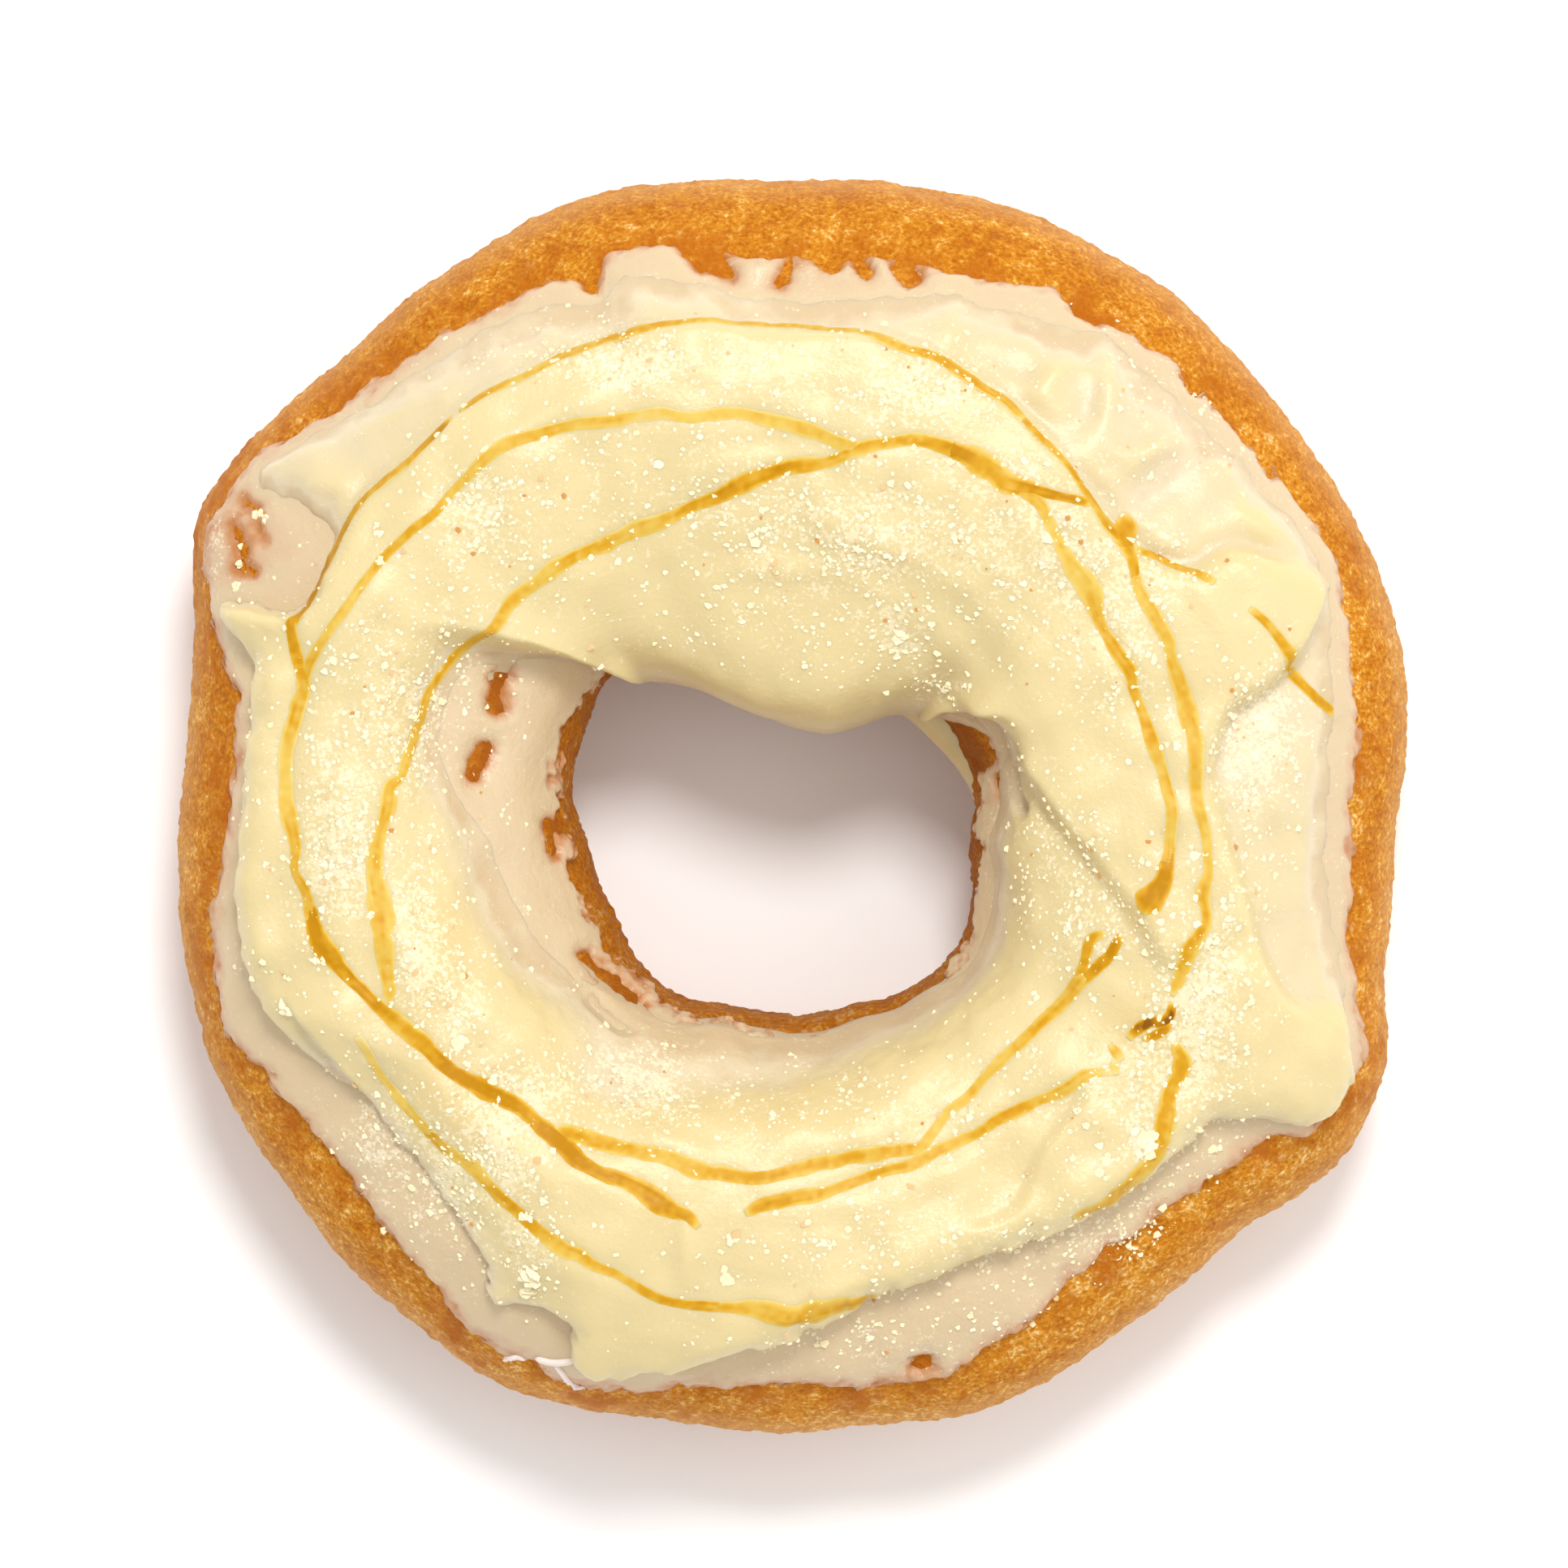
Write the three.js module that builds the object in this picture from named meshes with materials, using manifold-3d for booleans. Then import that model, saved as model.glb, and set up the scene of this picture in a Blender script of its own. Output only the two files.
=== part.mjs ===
// A ring doughnut in three bodies: a fried dough ring, a thin pale glaze over its upper half, and cream icing
// spread on top in a spatula swirl, with caramel strands lying in the creases of the swirl.
// Millimetres, +Z up, the underside on z = 0 and the box centred on the Z axis.
import * as THREE from "three";
import { mergeVertices } from "three/addons/utils/BufferGeometryUtils.js";
import { ParametricGeometry } from "three/addons/geometries/ParametricGeometry.js";
import ManifoldModule from "manifold-3d";

const manifold = await ManifoldModule();
manifold.setup();

const FULL_TURN = 360;
const QUARTER_TURN = 90;
const { degToRad, radToDeg, smoothstep, clamp } = THREE.MathUtils;

// Dough ring
const RING_CENTRE = new THREE.Vector2(-1.1, -3.8); // bearings and radii below are taken from this point
const CROWN_HEIGHT = 25.6; // top of the dough, before glaze and icing
const CROWN_SWAY = 0.5; // how much higher the crown stands on one diameter than across it
const CROWN_HIGH_BEARING = 60;
const EQUATOR_HEIGHT = 12.4; // where the ring is widest
const FOOT_FLATTENING = 1.16; // above 1 the round underside is cut off by a flat ring at z = 0
const LUMP_HEIGHT = 0.3; // gentle unevenness of the fried surface
const LUMPS_ROUND = 5;
const LUMPS_OVER = 2;
const LUMP_FLOOR = 0.5; // share of the lower half that the lumps reach down into

// Layers
const LAYER_GAP = 0.5;
const GLAZE_THICKNESS = 0.6;
const EDGE_WALL = 0.35; // height of a layer's rim
const SWIRL_THICKNESS = 2.9; // icing inside the swirl
const SPREAD_THICKNESS = 1.0; // icing spread thin outside the swirl
const SWIRL_STEP = 1.6; // width of the step between the two
const OUTER_RISE = 2.6; // distance from the icing's outer rim to its full thickness
const INNER_RISE = 6.5; // the same on the side of the hole
const END_FADE = 4; // a crease or a ridge dies away over this length at each end
const PATH_STEPS_PER_POINT = 4;

// Caramel strands
const STRAND_SIDES = 5;
const STRAND_STEP = 5;
const STRAND_SINK = 0.15; // how far a strand's centre lies under the icing's surface
const STRAND_INSET = 1.7; // least distance from the icing's rim

// Mesh density
const STEPS_ROUND = 84;
const DOUGH_STEPS = 18;
const GLAZE_TOP_STEPS = 8;
const GLAZE_UNDER_STEPS = 8;
const ICING_TOP_STEPS = 20;
const ICING_UNDER_STEPS = 10;
const WELD_DISTANCE = 1e-4;
const COORDINATES = 3; // numbers a vertex

// Outlines round the ring, as [bearing in degrees, radius in mm] pairs
const RING_RADIUS = aroundRing([
  [0, 47.1], [10, 49], [20, 50.7], [40, 51.4], [60, 52.6], [70, 52.7], [90, 51.8], [105, 52.5], [120, 51.6],
  [130, 50.7], [148, 51.8], [160, 48.1], [172, 46.1], [190, 46.4], [205, 46.2], [220, 45.7], [240, 46.2],
  [260, 44.5], [275, 44.4], [290, 45.5], [300, 45.3], [320, 45.7], [327, 48], [333, 49.5], [340, 49.3],
  [350, 47.3],
]);
const HOLE_RADIUS = aroundRing([
  [0, 14.8], [15, 15.5], [30, 15.9], [45, 15.8], [57, 14.4], [70, 13.8], [90, 14.2], [109, 16], [124, 18],
  [134, 18.8], [143, 18.2], [155, 17.4], [167, 16.2], [180, 14.6], [205, 13.6], [220, 13.6], [238, 13.1],
  [255, 12.3], [270, 12.6], [295, 13], [310, 14.1], [325, 15.1], [340, 15.6],
]);
const GLAZE_RIM = aroundRing([
  [2, 44.1], [12, 45.6], [21, 46.9], [29, 48.5], [42, 48], [56, 48.3], [64, 48.4], [69, 47], [76, 46.5],
  [89, 45.3], [95, 45], [101, 47.3], [120, 47.5], [134, 48.2], [144, 50.7], [150, 50.9], [156, 48.4],
  [161, 45.4], [168, 43.9], [179, 43.8], [188, 44.6], [198, 45], [208, 42.4], [220, 41.6], [232, 42.9],
  [238, 44.1], [249, 44.2], [260, 41.7], [272, 40.9], [288, 42.1], [300, 40.8], [305, 39.6], [316, 40.2],
  [326, 42.5], [332, 46], [340, 47.9], [347, 45.6],
]);
const ICING_RIM = aroundRing([
  [2, 42.4], [11, 42.9], [21, 44.6], [25, 47], [33, 47.2], [56, 46.8], [66, 46], [76, 44.8], [89, 43.4],
  [95, 43.4], [102, 45.4], [120, 45.8], [134, 46.6], [140, 48], [147, 43.6], [152, 43], [157, 45.4],
  [162, 43.5], [170, 42.8], [186, 43.3], [197, 42.6], [204, 40.4], [211, 37.5], [220, 37.4], [231, 38.8],
  [237, 41.8], [243, 39.6], [249, 42.8], [256, 42.2], [262, 40.2], [276, 36.7], [287, 35.1], [296, 35.2],
  [313, 37.9], [328, 39.3], [334, 44.4], [340, 47], [346, 45.3], [354, 43.1],
]);
const SWIRL_RADIUS = aroundRing([
  [0, 34.5], [7, 33.6], [13, 33.8], [17, 36.5], [20, 42], [24, 49], [31, 49], [35, 40], [40, 35.9],
  [49, 36.4], [63, 38.9], [80, 40.9], [95, 41.7], [117, 42.1], [136, 42], [148, 42.6], [154, 46],
  [160, 50], [330, 50], [343, 45], [348, 38.8], [354, 36.2],
]);

// How far the layers reach over the crown and down into the hole: [bearing, angle of the section in degrees]
const GLAZE_DIP = aroundRing([
  [0, 162], [14, 162], [24, 158], [32, 148], [40, 158], [50, 178], [70, 190], [100, 190], [120, 182],
  [134, 160], [148, 150], [160, 150], [180, 148], [200, 150], [225, 150], [260, 149], [300, 149],
  [325, 154], [345, 162],
]);
const ICING_DIP = aroundRing([
  [0, 150], [15, 146], [30, 138], [42, 152], [52, 172], [70, 186], [95, 186], [115, 180], [126, 168],
  [136, 146], [150, 128], [180, 124], [205, 126], [225, 132], [250, 138], [285, 140], [320, 148],
]);

// Folds of the icing: a steep face along the path, high on the path's left, easing down again over the run
const FOLDS = [
  // the start of the spiral, from the hole out to the caramel pool
  {
    height: 1.7,
    face: 1.8,
    run: 7,
    path: [[15.5, 7], [18, 3], [20.5, -1], [24.5, -6], [27, -9.5], [28.5, -12.5]],
  },
  // the torn rim at the lower left
  {
    height: 0.9,
    face: 1.8,
    run: 6,
    path: [[-38.5, -16.5], [-35, -20.5], [-31, -25], [-27.5, -30], [-24.5, -35]],
  },
];

// Ridges, and grooves where the height is negative
const RIDGES = [
  // roll along the lower right rim
  { height: 0.7, width: 2.6, path: [[-5, -40.5], [3, -37], [10, -34], [18, -31.5], [25, -28], [31, -23.5]] },
  // shoulder above the hole on the left
  { height: 0.7, width: 2.8, path: [[-24.5, 12], [-26, 5], [-25.5, 0], [-24, -8], [-20, -17]] },
  // crest of the bulge above the hole
  { height: 0.6, width: 3.2, path: [[-6, 19], [3, 20.5], [9, 18.8], [14, 16.3], [18.5, 10]] },
  // outer wall on the left
  { height: 0.5, width: 2.2, path: [[-40.5, 8], [-41.2, 0], [-41, -8], [-39.5, -13]] },
  // crumpled spread at the upper right
  { height: 0.6, width: 1.8, path: [[25, 36.5], [24.5, 33], [24, 29]] },
  { height: 0.6, width: 1.8, path: [[37.5, 20.5], [35.5, 24], [32.5, 26.5], [27, 27]] },
  { height: -0.7, width: 1.8, path: [[27, 19], [30.5, 18.4], [34, 20], [38, 19.4], [41, 17.8]] },
  // crease between the flat and the roll at the lower right
  { height: -0.5, width: 1.8, path: [[20, -24.5], [18.7, -28], [16.5, -31], [12, -32]] },
];

// Caramel strands, as plan routes over the icing
const STRANDS = [
  {
    radius: 0.75,
    route: [[-37, 11.5], [-33.5, 16.5], [-29, 21], [-24, 26.2], [-15, 29.3], [-6, 30.2], [5, 27.6]],
  },
  {
    radius: 0.8,
    route: [
      [-31.4, -13], [-32.2, -7], [-31.4, 0], [-29.2, 5.5], [-27, 9.5], [-21, 16.3], [-13, 20.6], [-2, 25.2],
      [7.5, 27.8], [15.5, 26], [22.5, 23.4],
    ],
  },
  {
    radius: 0.95,
    route: [[19, 23.4], [22.5, 16.5], [24.8, 12.5], [28.3, 3.5], [29.1, -1.5], [27.5, -7.3]],
  },
  {
    radius: 0.85,
    route: [[25, 20.5], [27, 16], [30, 8], [31.3, -1], [31.5, -8], [29.3, -14], [29.4, -19.5], [27.5, -26.5]],
  },
  {
    radius: 0.75,
    route: [[24.8, -10], [21.8, -14], [15, -20.7], [10, -26], [0, -28.2], [-9, -27.5], [-17, -25.6]],
  },
  {
    radius: 0.9,
    route: [
      [-38.4, 9], [-39.2, 3], [-38.4, -3.5], [-36.5, -9.5], [-32, -15], [-25, -21], [-18.5, -25.2],
      [-11, -30.2], [-7, -32.4],
    ],
  },
  { radius: 0.75, route: [[-29, -24.5], [-22.5, -30.3], [-15.5, -35], [-9, -37.8], [-2, -38.6], [3, -37]] },
];

// A closed curve of values through its pairs that never overshoots them
function aroundRing(pairs) {
  const count = pairs.length;
  const wrap = (degrees) => ((degrees % FULL_TURN) + FULL_TURN) % FULL_TURN;
  const pair = (i) => pairs[(i + count) % count];
  const span = (i) => wrap(pair(i + 1)[0] - pair(i)[0]);
  const climb = (i) => (pair(i + 1)[1] - pair(i)[1]) / span(i);
  const slope = (i) => {
    const before = climb(i - 1);
    const after = climb(i);
    return before * after > 0 ? (2 * before * after) / (before + after) : 0;
  };
  const slopes = pairs.map((_, i) => slope(i));
  return (bearing) => {
    const i = pairs.findIndex((_, k) => wrap(bearing - pair(k)[0]) < span(k));
    const length = span(i);
    const t = wrap(bearing - pair(i)[0]) / length;
    const rest = 1 - t;
    const ends = pair(i)[1] * rest * rest * (1 + 2 * t) + pair(i + 1)[1] * t * t * (1 + 2 * rest);
    const bends = slopes[i] * t * rest * rest - slopes[(i + 1) % count] * t * t * rest;
    return ends + length * bends;
  };
}

function crownHeight(bearing) {
  return CROWN_HEIGHT + CROWN_SWAY * Math.cos(degToRad(2 * (bearing - CROWN_HIGH_BEARING)));
}

// The section at one bearing. Its angle runs from the outer equator over the crown, at 90, to the hole's
// equator at 180 and on under the ring.
function sectionAt(bearing) {
  const outer = RING_RADIUS(bearing);
  const inner = HOLE_RADIUS(bearing);
  const rise = crownHeight(bearing) - EQUATOR_HEIGHT;
  return { middle: (outer + inner) / 2, half: (outer - inner) / 2, rise };
}

function lumpAt(bearing, angle) {
  const fade = Math.max(0, Math.sin(degToRad(angle)) + LUMP_FLOOR) / (1 + LUMP_FLOOR);
  const along = Math.sin(degToRad(LUMPS_ROUND * bearing + LUMPS_OVER * angle));
  const across = Math.cos(degToRad(LUMPS_OVER * LUMPS_ROUND * bearing - LUMPS_OVER * angle));
  return LUMP_HEIGHT * fade * along * across;
}

// A point raised above the dough's skin, along the skin's normal
function abovePoint(bearing, angle, raise, target) {
  const { middle, half, rise } = sectionAt(bearing);
  const cosine = Math.cos(degToRad(angle));
  const sine = Math.sin(degToRad(angle));
  const upper = sine >= 0;
  const vertical = upper ? rise : EQUATOR_HEIGHT * FOOT_FLATTENING;
  const height = Math.max(0, EQUATOR_HEIGHT + vertical * sine);
  const normal = new THREE.Vector2(cosine / half, sine / vertical).normalize();
  const lift = raise + lumpAt(bearing, angle);
  const radius = middle + half * cosine + lift * normal.x;
  const turn = degToRad(bearing);
  const x = RING_CENTRE.x + radius * Math.cos(turn);
  const y = RING_CENTRE.y + radius * Math.sin(turn);
  return target.set(x, y, height + lift * normal.y);
}

// Angle of the section, on its upper side, where a surface raised above the skin has a plan radius
function angleOfRadius(bearing, radius, raise) {
  const { middle, half } = sectionAt(bearing);
  return radToDeg(Math.acos(clamp((radius - middle) / (half + raise), -1, 1)));
}

// Signed distance in plan from a path, above zero on its left, and how far inside the path's ends it lies
function pathField(points) {
  const curve = new THREE.CatmullRomCurve3(points.map(([x, y]) => new THREE.Vector3(x, y, 0)));
  const marks = curve.getSpacedPoints(points.length * PATH_STEPS_PER_POINT);
  const total = curve.getLength();
  const step = total / (marks.length - 1);
  return (x, y) => {
    let best = { distance: Infinity, inside: 0 };
    for (let i = 0; i < marks.length - 1; i += 1) {
      const along = marks[i + 1].clone().sub(marks[i]);
      const away = new THREE.Vector3(x, y, 0).sub(marks[i]);
      const t = clamp(away.dot(along) / along.lengthSq(), 0, 1);
      const distance = away.clone().addScaledVector(along, -t).length();
      if (distance < Math.abs(best.distance)) {
        const side = along.x * away.y - along.y * away.x < 0 ? -1 : 1;
        const walked = (i + t) * step;
        best = { distance: side * distance, inside: Math.min(walked, total - walked) };
      }
    }
    return best;
  };
}

// A bell across a path that fades at its ends
function ridgeField({ height, width, path }) {
  const field = pathField(path);
  return (x, y) => {
    const { distance, inside } = field(x, y);
    return height * smoothstep(inside, 0, END_FADE) * Math.exp(-((distance / width) ** 2));
  };
}

// A step up to the left of a path that eases down over its run
function foldField({ height, face, run, path }) {
  const field = pathField(path);
  return (x, y) => {
    const { distance, inside } = field(x, y);
    const step = smoothstep(distance, -face / 2, face / 2) * Math.exp(-((Math.max(0, distance) / run) ** 2));
    return height * smoothstep(inside, 0, END_FADE) * step;
  };
}

const reliefFields = [...FOLDS.map(foldField), ...RIDGES.map(ridgeField)];

// Where a layer's rims lie at one bearing, as angles of the section
function rimsOf(rimRadius, dip, raise) {
  return (bearing) => ({ outer: angleOfRadius(bearing, rimRadius(bearing), raise), inner: dip(bearing) });
}
const glazeBase = LAYER_GAP;
const icingBase = glazeBase + GLAZE_THICKNESS + LAYER_GAP;
const glazeRims = rimsOf(GLAZE_RIM, GLAZE_DIP, glazeBase + GLAZE_THICKNESS);
const icingRims = rimsOf(ICING_RIM, ICING_DIP, icingBase + EDGE_WALL);

// Icing thickness: round-shouldered at the outer rim, feathered towards the hole, with the relief on top
function icingThickness(bearing, angle) {
  const { outer, inner } = icingRims(bearing);
  const { middle, half, rise } = sectionAt(bearing);
  const arc = degToRad((half + rise) / 2);
  const fromRim = clamp(((angle - outer) * arc) / OUTER_RISE, 0, 1);
  const shoulder = Math.sqrt(1 - (1 - fromRim) ** 2);
  const feather = smoothstep((inner - angle) * arc, 0, INNER_RISE);
  const point = abovePoint(bearing, angle, 0, new THREE.Vector3());
  const radius = middle + half * Math.cos(degToRad(angle));
  const outside = smoothstep(radius - SWIRL_RADIUS(bearing), -SWIRL_STEP / 2, SWIRL_STEP / 2);
  const body = THREE.MathUtils.lerp(SWIRL_THICKNESS, SPREAD_THICKNESS, outside);
  const relief = reliefFields.reduce((sum, field) => sum + field(point.x, point.y), 0);
  return EDGE_WALL + shoulder * feather * Math.max(0, body + relief);
}

function doughGeometry() {
  const skin = (u, v, target) => abovePoint(u * FULL_TURN, v * FULL_TURN, 0, target);
  return new ParametricGeometry(skin, STEPS_ROUND, DOUGH_STEPS);
}

// A layer on the dough: its section runs over the top from the outer rim to the inner one and back underneath
function layerGeometry(rims, base, thickness, topSteps, underSteps) {
  const loopSteps = topSteps + underSteps + 2;
  const skin = (u, v, target) => {
    const bearing = u * FULL_TURN;
    const { outer, inner } = rims(bearing);
    const place = Math.round(v * loopSteps) % loopSteps;
    if (place <= topSteps) {
      const angle = THREE.MathUtils.lerp(outer, inner, place / topSteps);
      return abovePoint(bearing, angle, base + thickness(bearing, angle), target);
    }
    const angle = THREE.MathUtils.lerp(inner, outer, (place - topSteps - 1) / underSteps);
    return abovePoint(bearing, angle, base, target);
  };
  return new ParametricGeometry(skin, STEPS_ROUND, loopSteps);
}

// A caramel strand: a round cord laid along its plan route on the icing's surface
function strandGeometry({ radius, route }) {
  const plan = new THREE.CatmullRomCurve3(route.map(([x, y]) => new THREE.Vector3(x, y, 0)));
  const steps = Math.ceil(plan.getLength() / STRAND_STEP);
  const laid = plan.getSpacedPoints(steps).map((mark) => {
    const fromCentre = new THREE.Vector2(mark.x, mark.y).sub(RING_CENTRE);
    const bearing = radToDeg(fromCentre.angle());
    const plannedRadius = Math.min(fromCentre.length(), ICING_RIM(bearing) - STRAND_INSET);
    const angle = angleOfRadius(bearing, plannedRadius, icingBase + SWIRL_THICKNESS);
    const raise = icingBase + icingThickness(bearing, angle) - STRAND_SINK;
    return abovePoint(bearing, angle, raise, new THREE.Vector3());
  });
  const corner = FULL_TURN / STRAND_SIDES;
  const corners = Array.from({ length: STRAND_SIDES }, (_, i) => {
    const turn = degToRad(QUARTER_TURN + i * corner);
    return new THREE.Vector2(radius * Math.cos(turn), radius * Math.sin(turn));
  });
  const path = new THREE.CatmullRomCurve3(laid);
  const settings = { extrudePath: path, steps, bevelEnabled: false };
  return new THREE.ExtrudeGeometry(new THREE.Shape(corners), settings);
}

function toSolid(geometry) {
  const bare = new THREE.BufferGeometry();
  bare.setAttribute("position", geometry.getAttribute("position"));
  bare.setIndex(geometry.getIndex());
  const welded = mergeVertices(bare, WELD_DISTANCE);
  const mesh = new manifold.Mesh({
    numProp: COORDINATES,
    vertProperties: Float32Array.from(welded.getAttribute("position").array),
    triVerts: Uint32Array.from(welded.getIndex().array),
  });
  mesh.merge();
  return new manifold.Manifold(mesh);
}

function toGeometry(solid) {
  const mesh = solid.getMesh();
  const geometry = new THREE.BufferGeometry();
  const places = Float32Array.from(mesh.vertProperties);
  geometry.setAttribute("position", new THREE.BufferAttribute(places, COORDINATES));
  geometry.setIndex(new THREE.BufferAttribute(Uint32Array.from(mesh.triVerts), 1));
  geometry.computeVertexNormals();
  return geometry;
}

function icingGeometry() {
  const layer = layerGeometry(icingRims, icingBase, icingThickness, ICING_TOP_STEPS, ICING_UNDER_STEPS);
  const bodies = [layer, ...STRANDS.map(strandGeometry)].map(toSolid);
  return toGeometry(manifold.Manifold.union(bodies));
}

function addPiece(group, name, geometry, finish) {
  const piece = new THREE.Mesh(geometry, new THREE.MeshStandardMaterial({ metalness: 0, ...finish }));
  piece.name = name;
  group.add(piece);
}

const doughnut = new THREE.Group();
doughnut.name = "cake_doughnut";
const glazeThickness = () => GLAZE_THICKNESS;
const glazeGeometry = layerGeometry(glazeRims, glazeBase, glazeThickness, GLAZE_TOP_STEPS, GLAZE_UNDER_STEPS);
addPiece(doughnut, "dough", doughGeometry(), { color: 0xdc9440, roughness: 0.7 });
addPiece(doughnut, "glaze", glazeGeometry, { color: 0xecd5b2, roughness: 0.4 });
addPiece(doughnut, "icing", icingGeometry(), { color: 0xf4e3b2, roughness: 0.45 });

export default doughnut;
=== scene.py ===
"""An iced ring doughnut: fried dough, sugar glaze, a swirl of cream icing, caramel strands and milk powder.

Lengths are millimetres until a mesh is made. A place on the doughnut is named by its bearing round the ring
and its angle on the ring's section, both in degrees: 0 is the outer equator, 90 the crown and 180 the equator
in the hole.
"""
import logging
import math
from dataclasses import dataclass
from enum import Enum
from functools import cached_property
from itertools import product
from typing import Callable, Sequence

import bpy
import numpy as np
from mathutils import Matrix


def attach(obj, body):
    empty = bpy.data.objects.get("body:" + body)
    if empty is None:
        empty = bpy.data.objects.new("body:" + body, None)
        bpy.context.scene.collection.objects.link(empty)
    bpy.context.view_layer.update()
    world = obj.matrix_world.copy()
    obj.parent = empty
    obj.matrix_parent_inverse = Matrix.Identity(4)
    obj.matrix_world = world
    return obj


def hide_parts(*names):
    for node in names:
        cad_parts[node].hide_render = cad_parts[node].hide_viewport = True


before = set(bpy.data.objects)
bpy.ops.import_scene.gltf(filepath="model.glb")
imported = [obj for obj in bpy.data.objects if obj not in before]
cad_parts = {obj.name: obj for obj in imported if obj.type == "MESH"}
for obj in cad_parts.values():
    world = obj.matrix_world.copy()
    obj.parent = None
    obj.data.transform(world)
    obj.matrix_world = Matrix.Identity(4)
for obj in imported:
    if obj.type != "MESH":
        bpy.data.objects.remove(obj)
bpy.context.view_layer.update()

log = logging.getLogger("doughnut")

Array = np.ndarray
Curve = Callable[[Array], Array]
Plan = Sequence[tuple[float, float]]
Range = tuple[float, float]
Span = tuple[float, float, float, float]
Stops = tuple[tuple[float, str], ...]
Material = bpy.types.Material
Piece = bpy.types.Object
Socket = bpy.types.NodeSocket
Colour = Socket | tuple[float, ...]

MM = 0.001
FULL_TURN = 360.0
HALF_TURN = 180.0
# Angle on the section of the ring's crown
CROWN = 90.0
NOISE_SEED = 7
# Heights against the dough's crown at which the places of the icing and of the glaze's rims are given
ICING_LEVEL = 3.0
GLAZE_LEVEL = -6.0


class Layer(Enum):
    """The solids that the dressed pieces stand for."""

    DOUGH = "dough"
    GLAZE = "glaze"
    ICING = "icing"


class Slot(Enum):
    """The record's material slots."""

    CRUST = "crust"
    GLAZE = "glaze"
    ICING = "icing"


# Small mathematics


def ease(value: Array, low: float, high: float) -> Array:
    """Smooth step: 0 below low, 1 above high and a cubic between them.

    Args:
        value: Numbers to ease.
        low: Where the step starts.
        high: Where it ends.

    Returns:
        Numbers from 0 to 1.
    """
    t = np.clip((value - low) / (high - low), 0.0, 1.0)
    return t * t * (3.0 - 2.0 * t)


def shoulder(value: Array) -> Array:
    """Quarter of an ellipse: 0 at 0, upright there, and 1 from 1 on."""
    return np.sqrt(1.0 - (1.0 - np.clip(value, 0.0, 1.0)) ** 2)


def between(value: Array, span: Span) -> Array:
    """Smooth plateau: rises from 0 to 1 over the span's first two numbers and falls over its last two."""
    return ease(value, span[0], span[1]) * (1.0 - ease(value, span[2], span[3]))


def around_ring(*pairs: tuple[float, float]) -> Curve:
    """Closed curve through (bearing, value) pairs by cubic pieces whose slopes never overshoot the pairs.

    Args:
        pairs: Bearings in degrees, rising, and the values there.

    Returns:
        A function of an array of bearings.
    """
    bearings = np.array([bearing for bearing, _ in pairs])
    values = np.array([value for _, value in pairs])
    spans = np.mod(np.roll(bearings, -1) - bearings, FULL_TURN)
    climbs = (np.roll(values, -1) - values) / spans
    before = np.roll(climbs, 1)
    agree = before * climbs > 0.0
    total = np.where(agree, before + climbs, 1.0)
    slopes = np.where(agree, 2.0 * before * climbs / total, 0.0)

    def curve(bearing: Array) -> Array:
        """Value of the closed curve at each bearing.

        Args:
            bearing: Degrees, in any turn.

        Returns:
            One value a bearing.
        """
        turned = np.mod(np.asarray(bearing, float) - bearings[0], FULL_TURN)
        index = np.searchsorted(bearings - bearings[0], turned, side="right") - 1
        after = (index + 1) % len(bearings)
        t = (turned - (bearings - bearings[0])[index]) / spans[index]
        rest = 1.0 - t
        ends = values[index] * rest**2 * (1.0 + 2.0 * t) + values[after] * t**2 * (1.0 + 2.0 * rest)
        return ends + spans[index] * (slopes[index] * t * rest**2 - slopes[after] * t**2 * rest)

    return curve


def rounded(points: Array, closed: bool, steps: int) -> Array:
    """Catmull-Rom curve through points: each piece is a cubic whose end slopes join the neighbouring points.

    Args:
        points: Rows of numbers, such as plan points with a width.
        closed: Whether the last point joins the first.
        steps: Samples for each piece.

    Returns:
        The samples, in rows, with the last point of an open curve included.
    """
    if closed:
        padded = np.concatenate([points[-1:], points, points[:2]])
    else:
        first = 2.0 * points[0] - points[1]
        last = 2.0 * points[-1] - points[-2]
        padded = np.concatenate([first[None], points, last[None]])
    t = (np.arange(steps) / steps)[None, :, None]
    before, start, end, after = (padded[i : len(padded) - 3 + i][:, None, :] for i in range(4))
    bend = 2.0 * before - 5.0 * start + 4.0 * end - after
    twist = 3.0 * start - before - 3.0 * end + after
    pieces = 0.5 * (2.0 * start + (end - before) * t + bend * t**2 + twist * t**3)
    samples = pieces.reshape(-1, points.shape[1])
    return samples if closed else np.concatenate([samples, points[-1:]])


@dataclass(frozen=True)
class Wave:
    """Noise of one size: its height, the size of its features, and a shift that sets it apart from others."""

    height: float
    size: float
    shift: float = 0.0


class LatticeNoise:
    """Seeded noise from -1 to 1: random values on a cubic lattice, eased between the eight neighbours."""

    CELLS = 48

    def __init__(self, seed: int) -> None:
        """Draws the lattice's values."""
        self.values = np.random.default_rng(seed).uniform(-1.0, 1.0, (self.CELLS,) * 3)

    def __call__(self, points: Array, size: float) -> Array:
        """Noise at points.

        Args:
            points: Array whose last axis is x, y, z.
            size: Edge of a lattice cell, in the points' unit.

        Returns:
            One number a point.
        """
        place = points / size
        low = np.floor(place).astype(int)
        t = place - low
        t = t * t * (3.0 - 2.0 * t)
        total = np.zeros(points.shape[:-1])
        for corner in product((0, 1), repeat=3):
            weight = np.prod(np.where(np.array(corner) == 1, t, 1.0 - t), axis=-1)
            index = np.moveaxis((low + corner) % self.CELLS, -1, 0)
            total += weight * self.values[tuple(index)]
        return total

    def waves(self, points: Array, *waves: Wave) -> Array:
        """Sum of waves, each its height times noise of its size at the shifted points."""
        return sum(wave.height * self(points + wave.shift, wave.size) for wave in waves)


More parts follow.
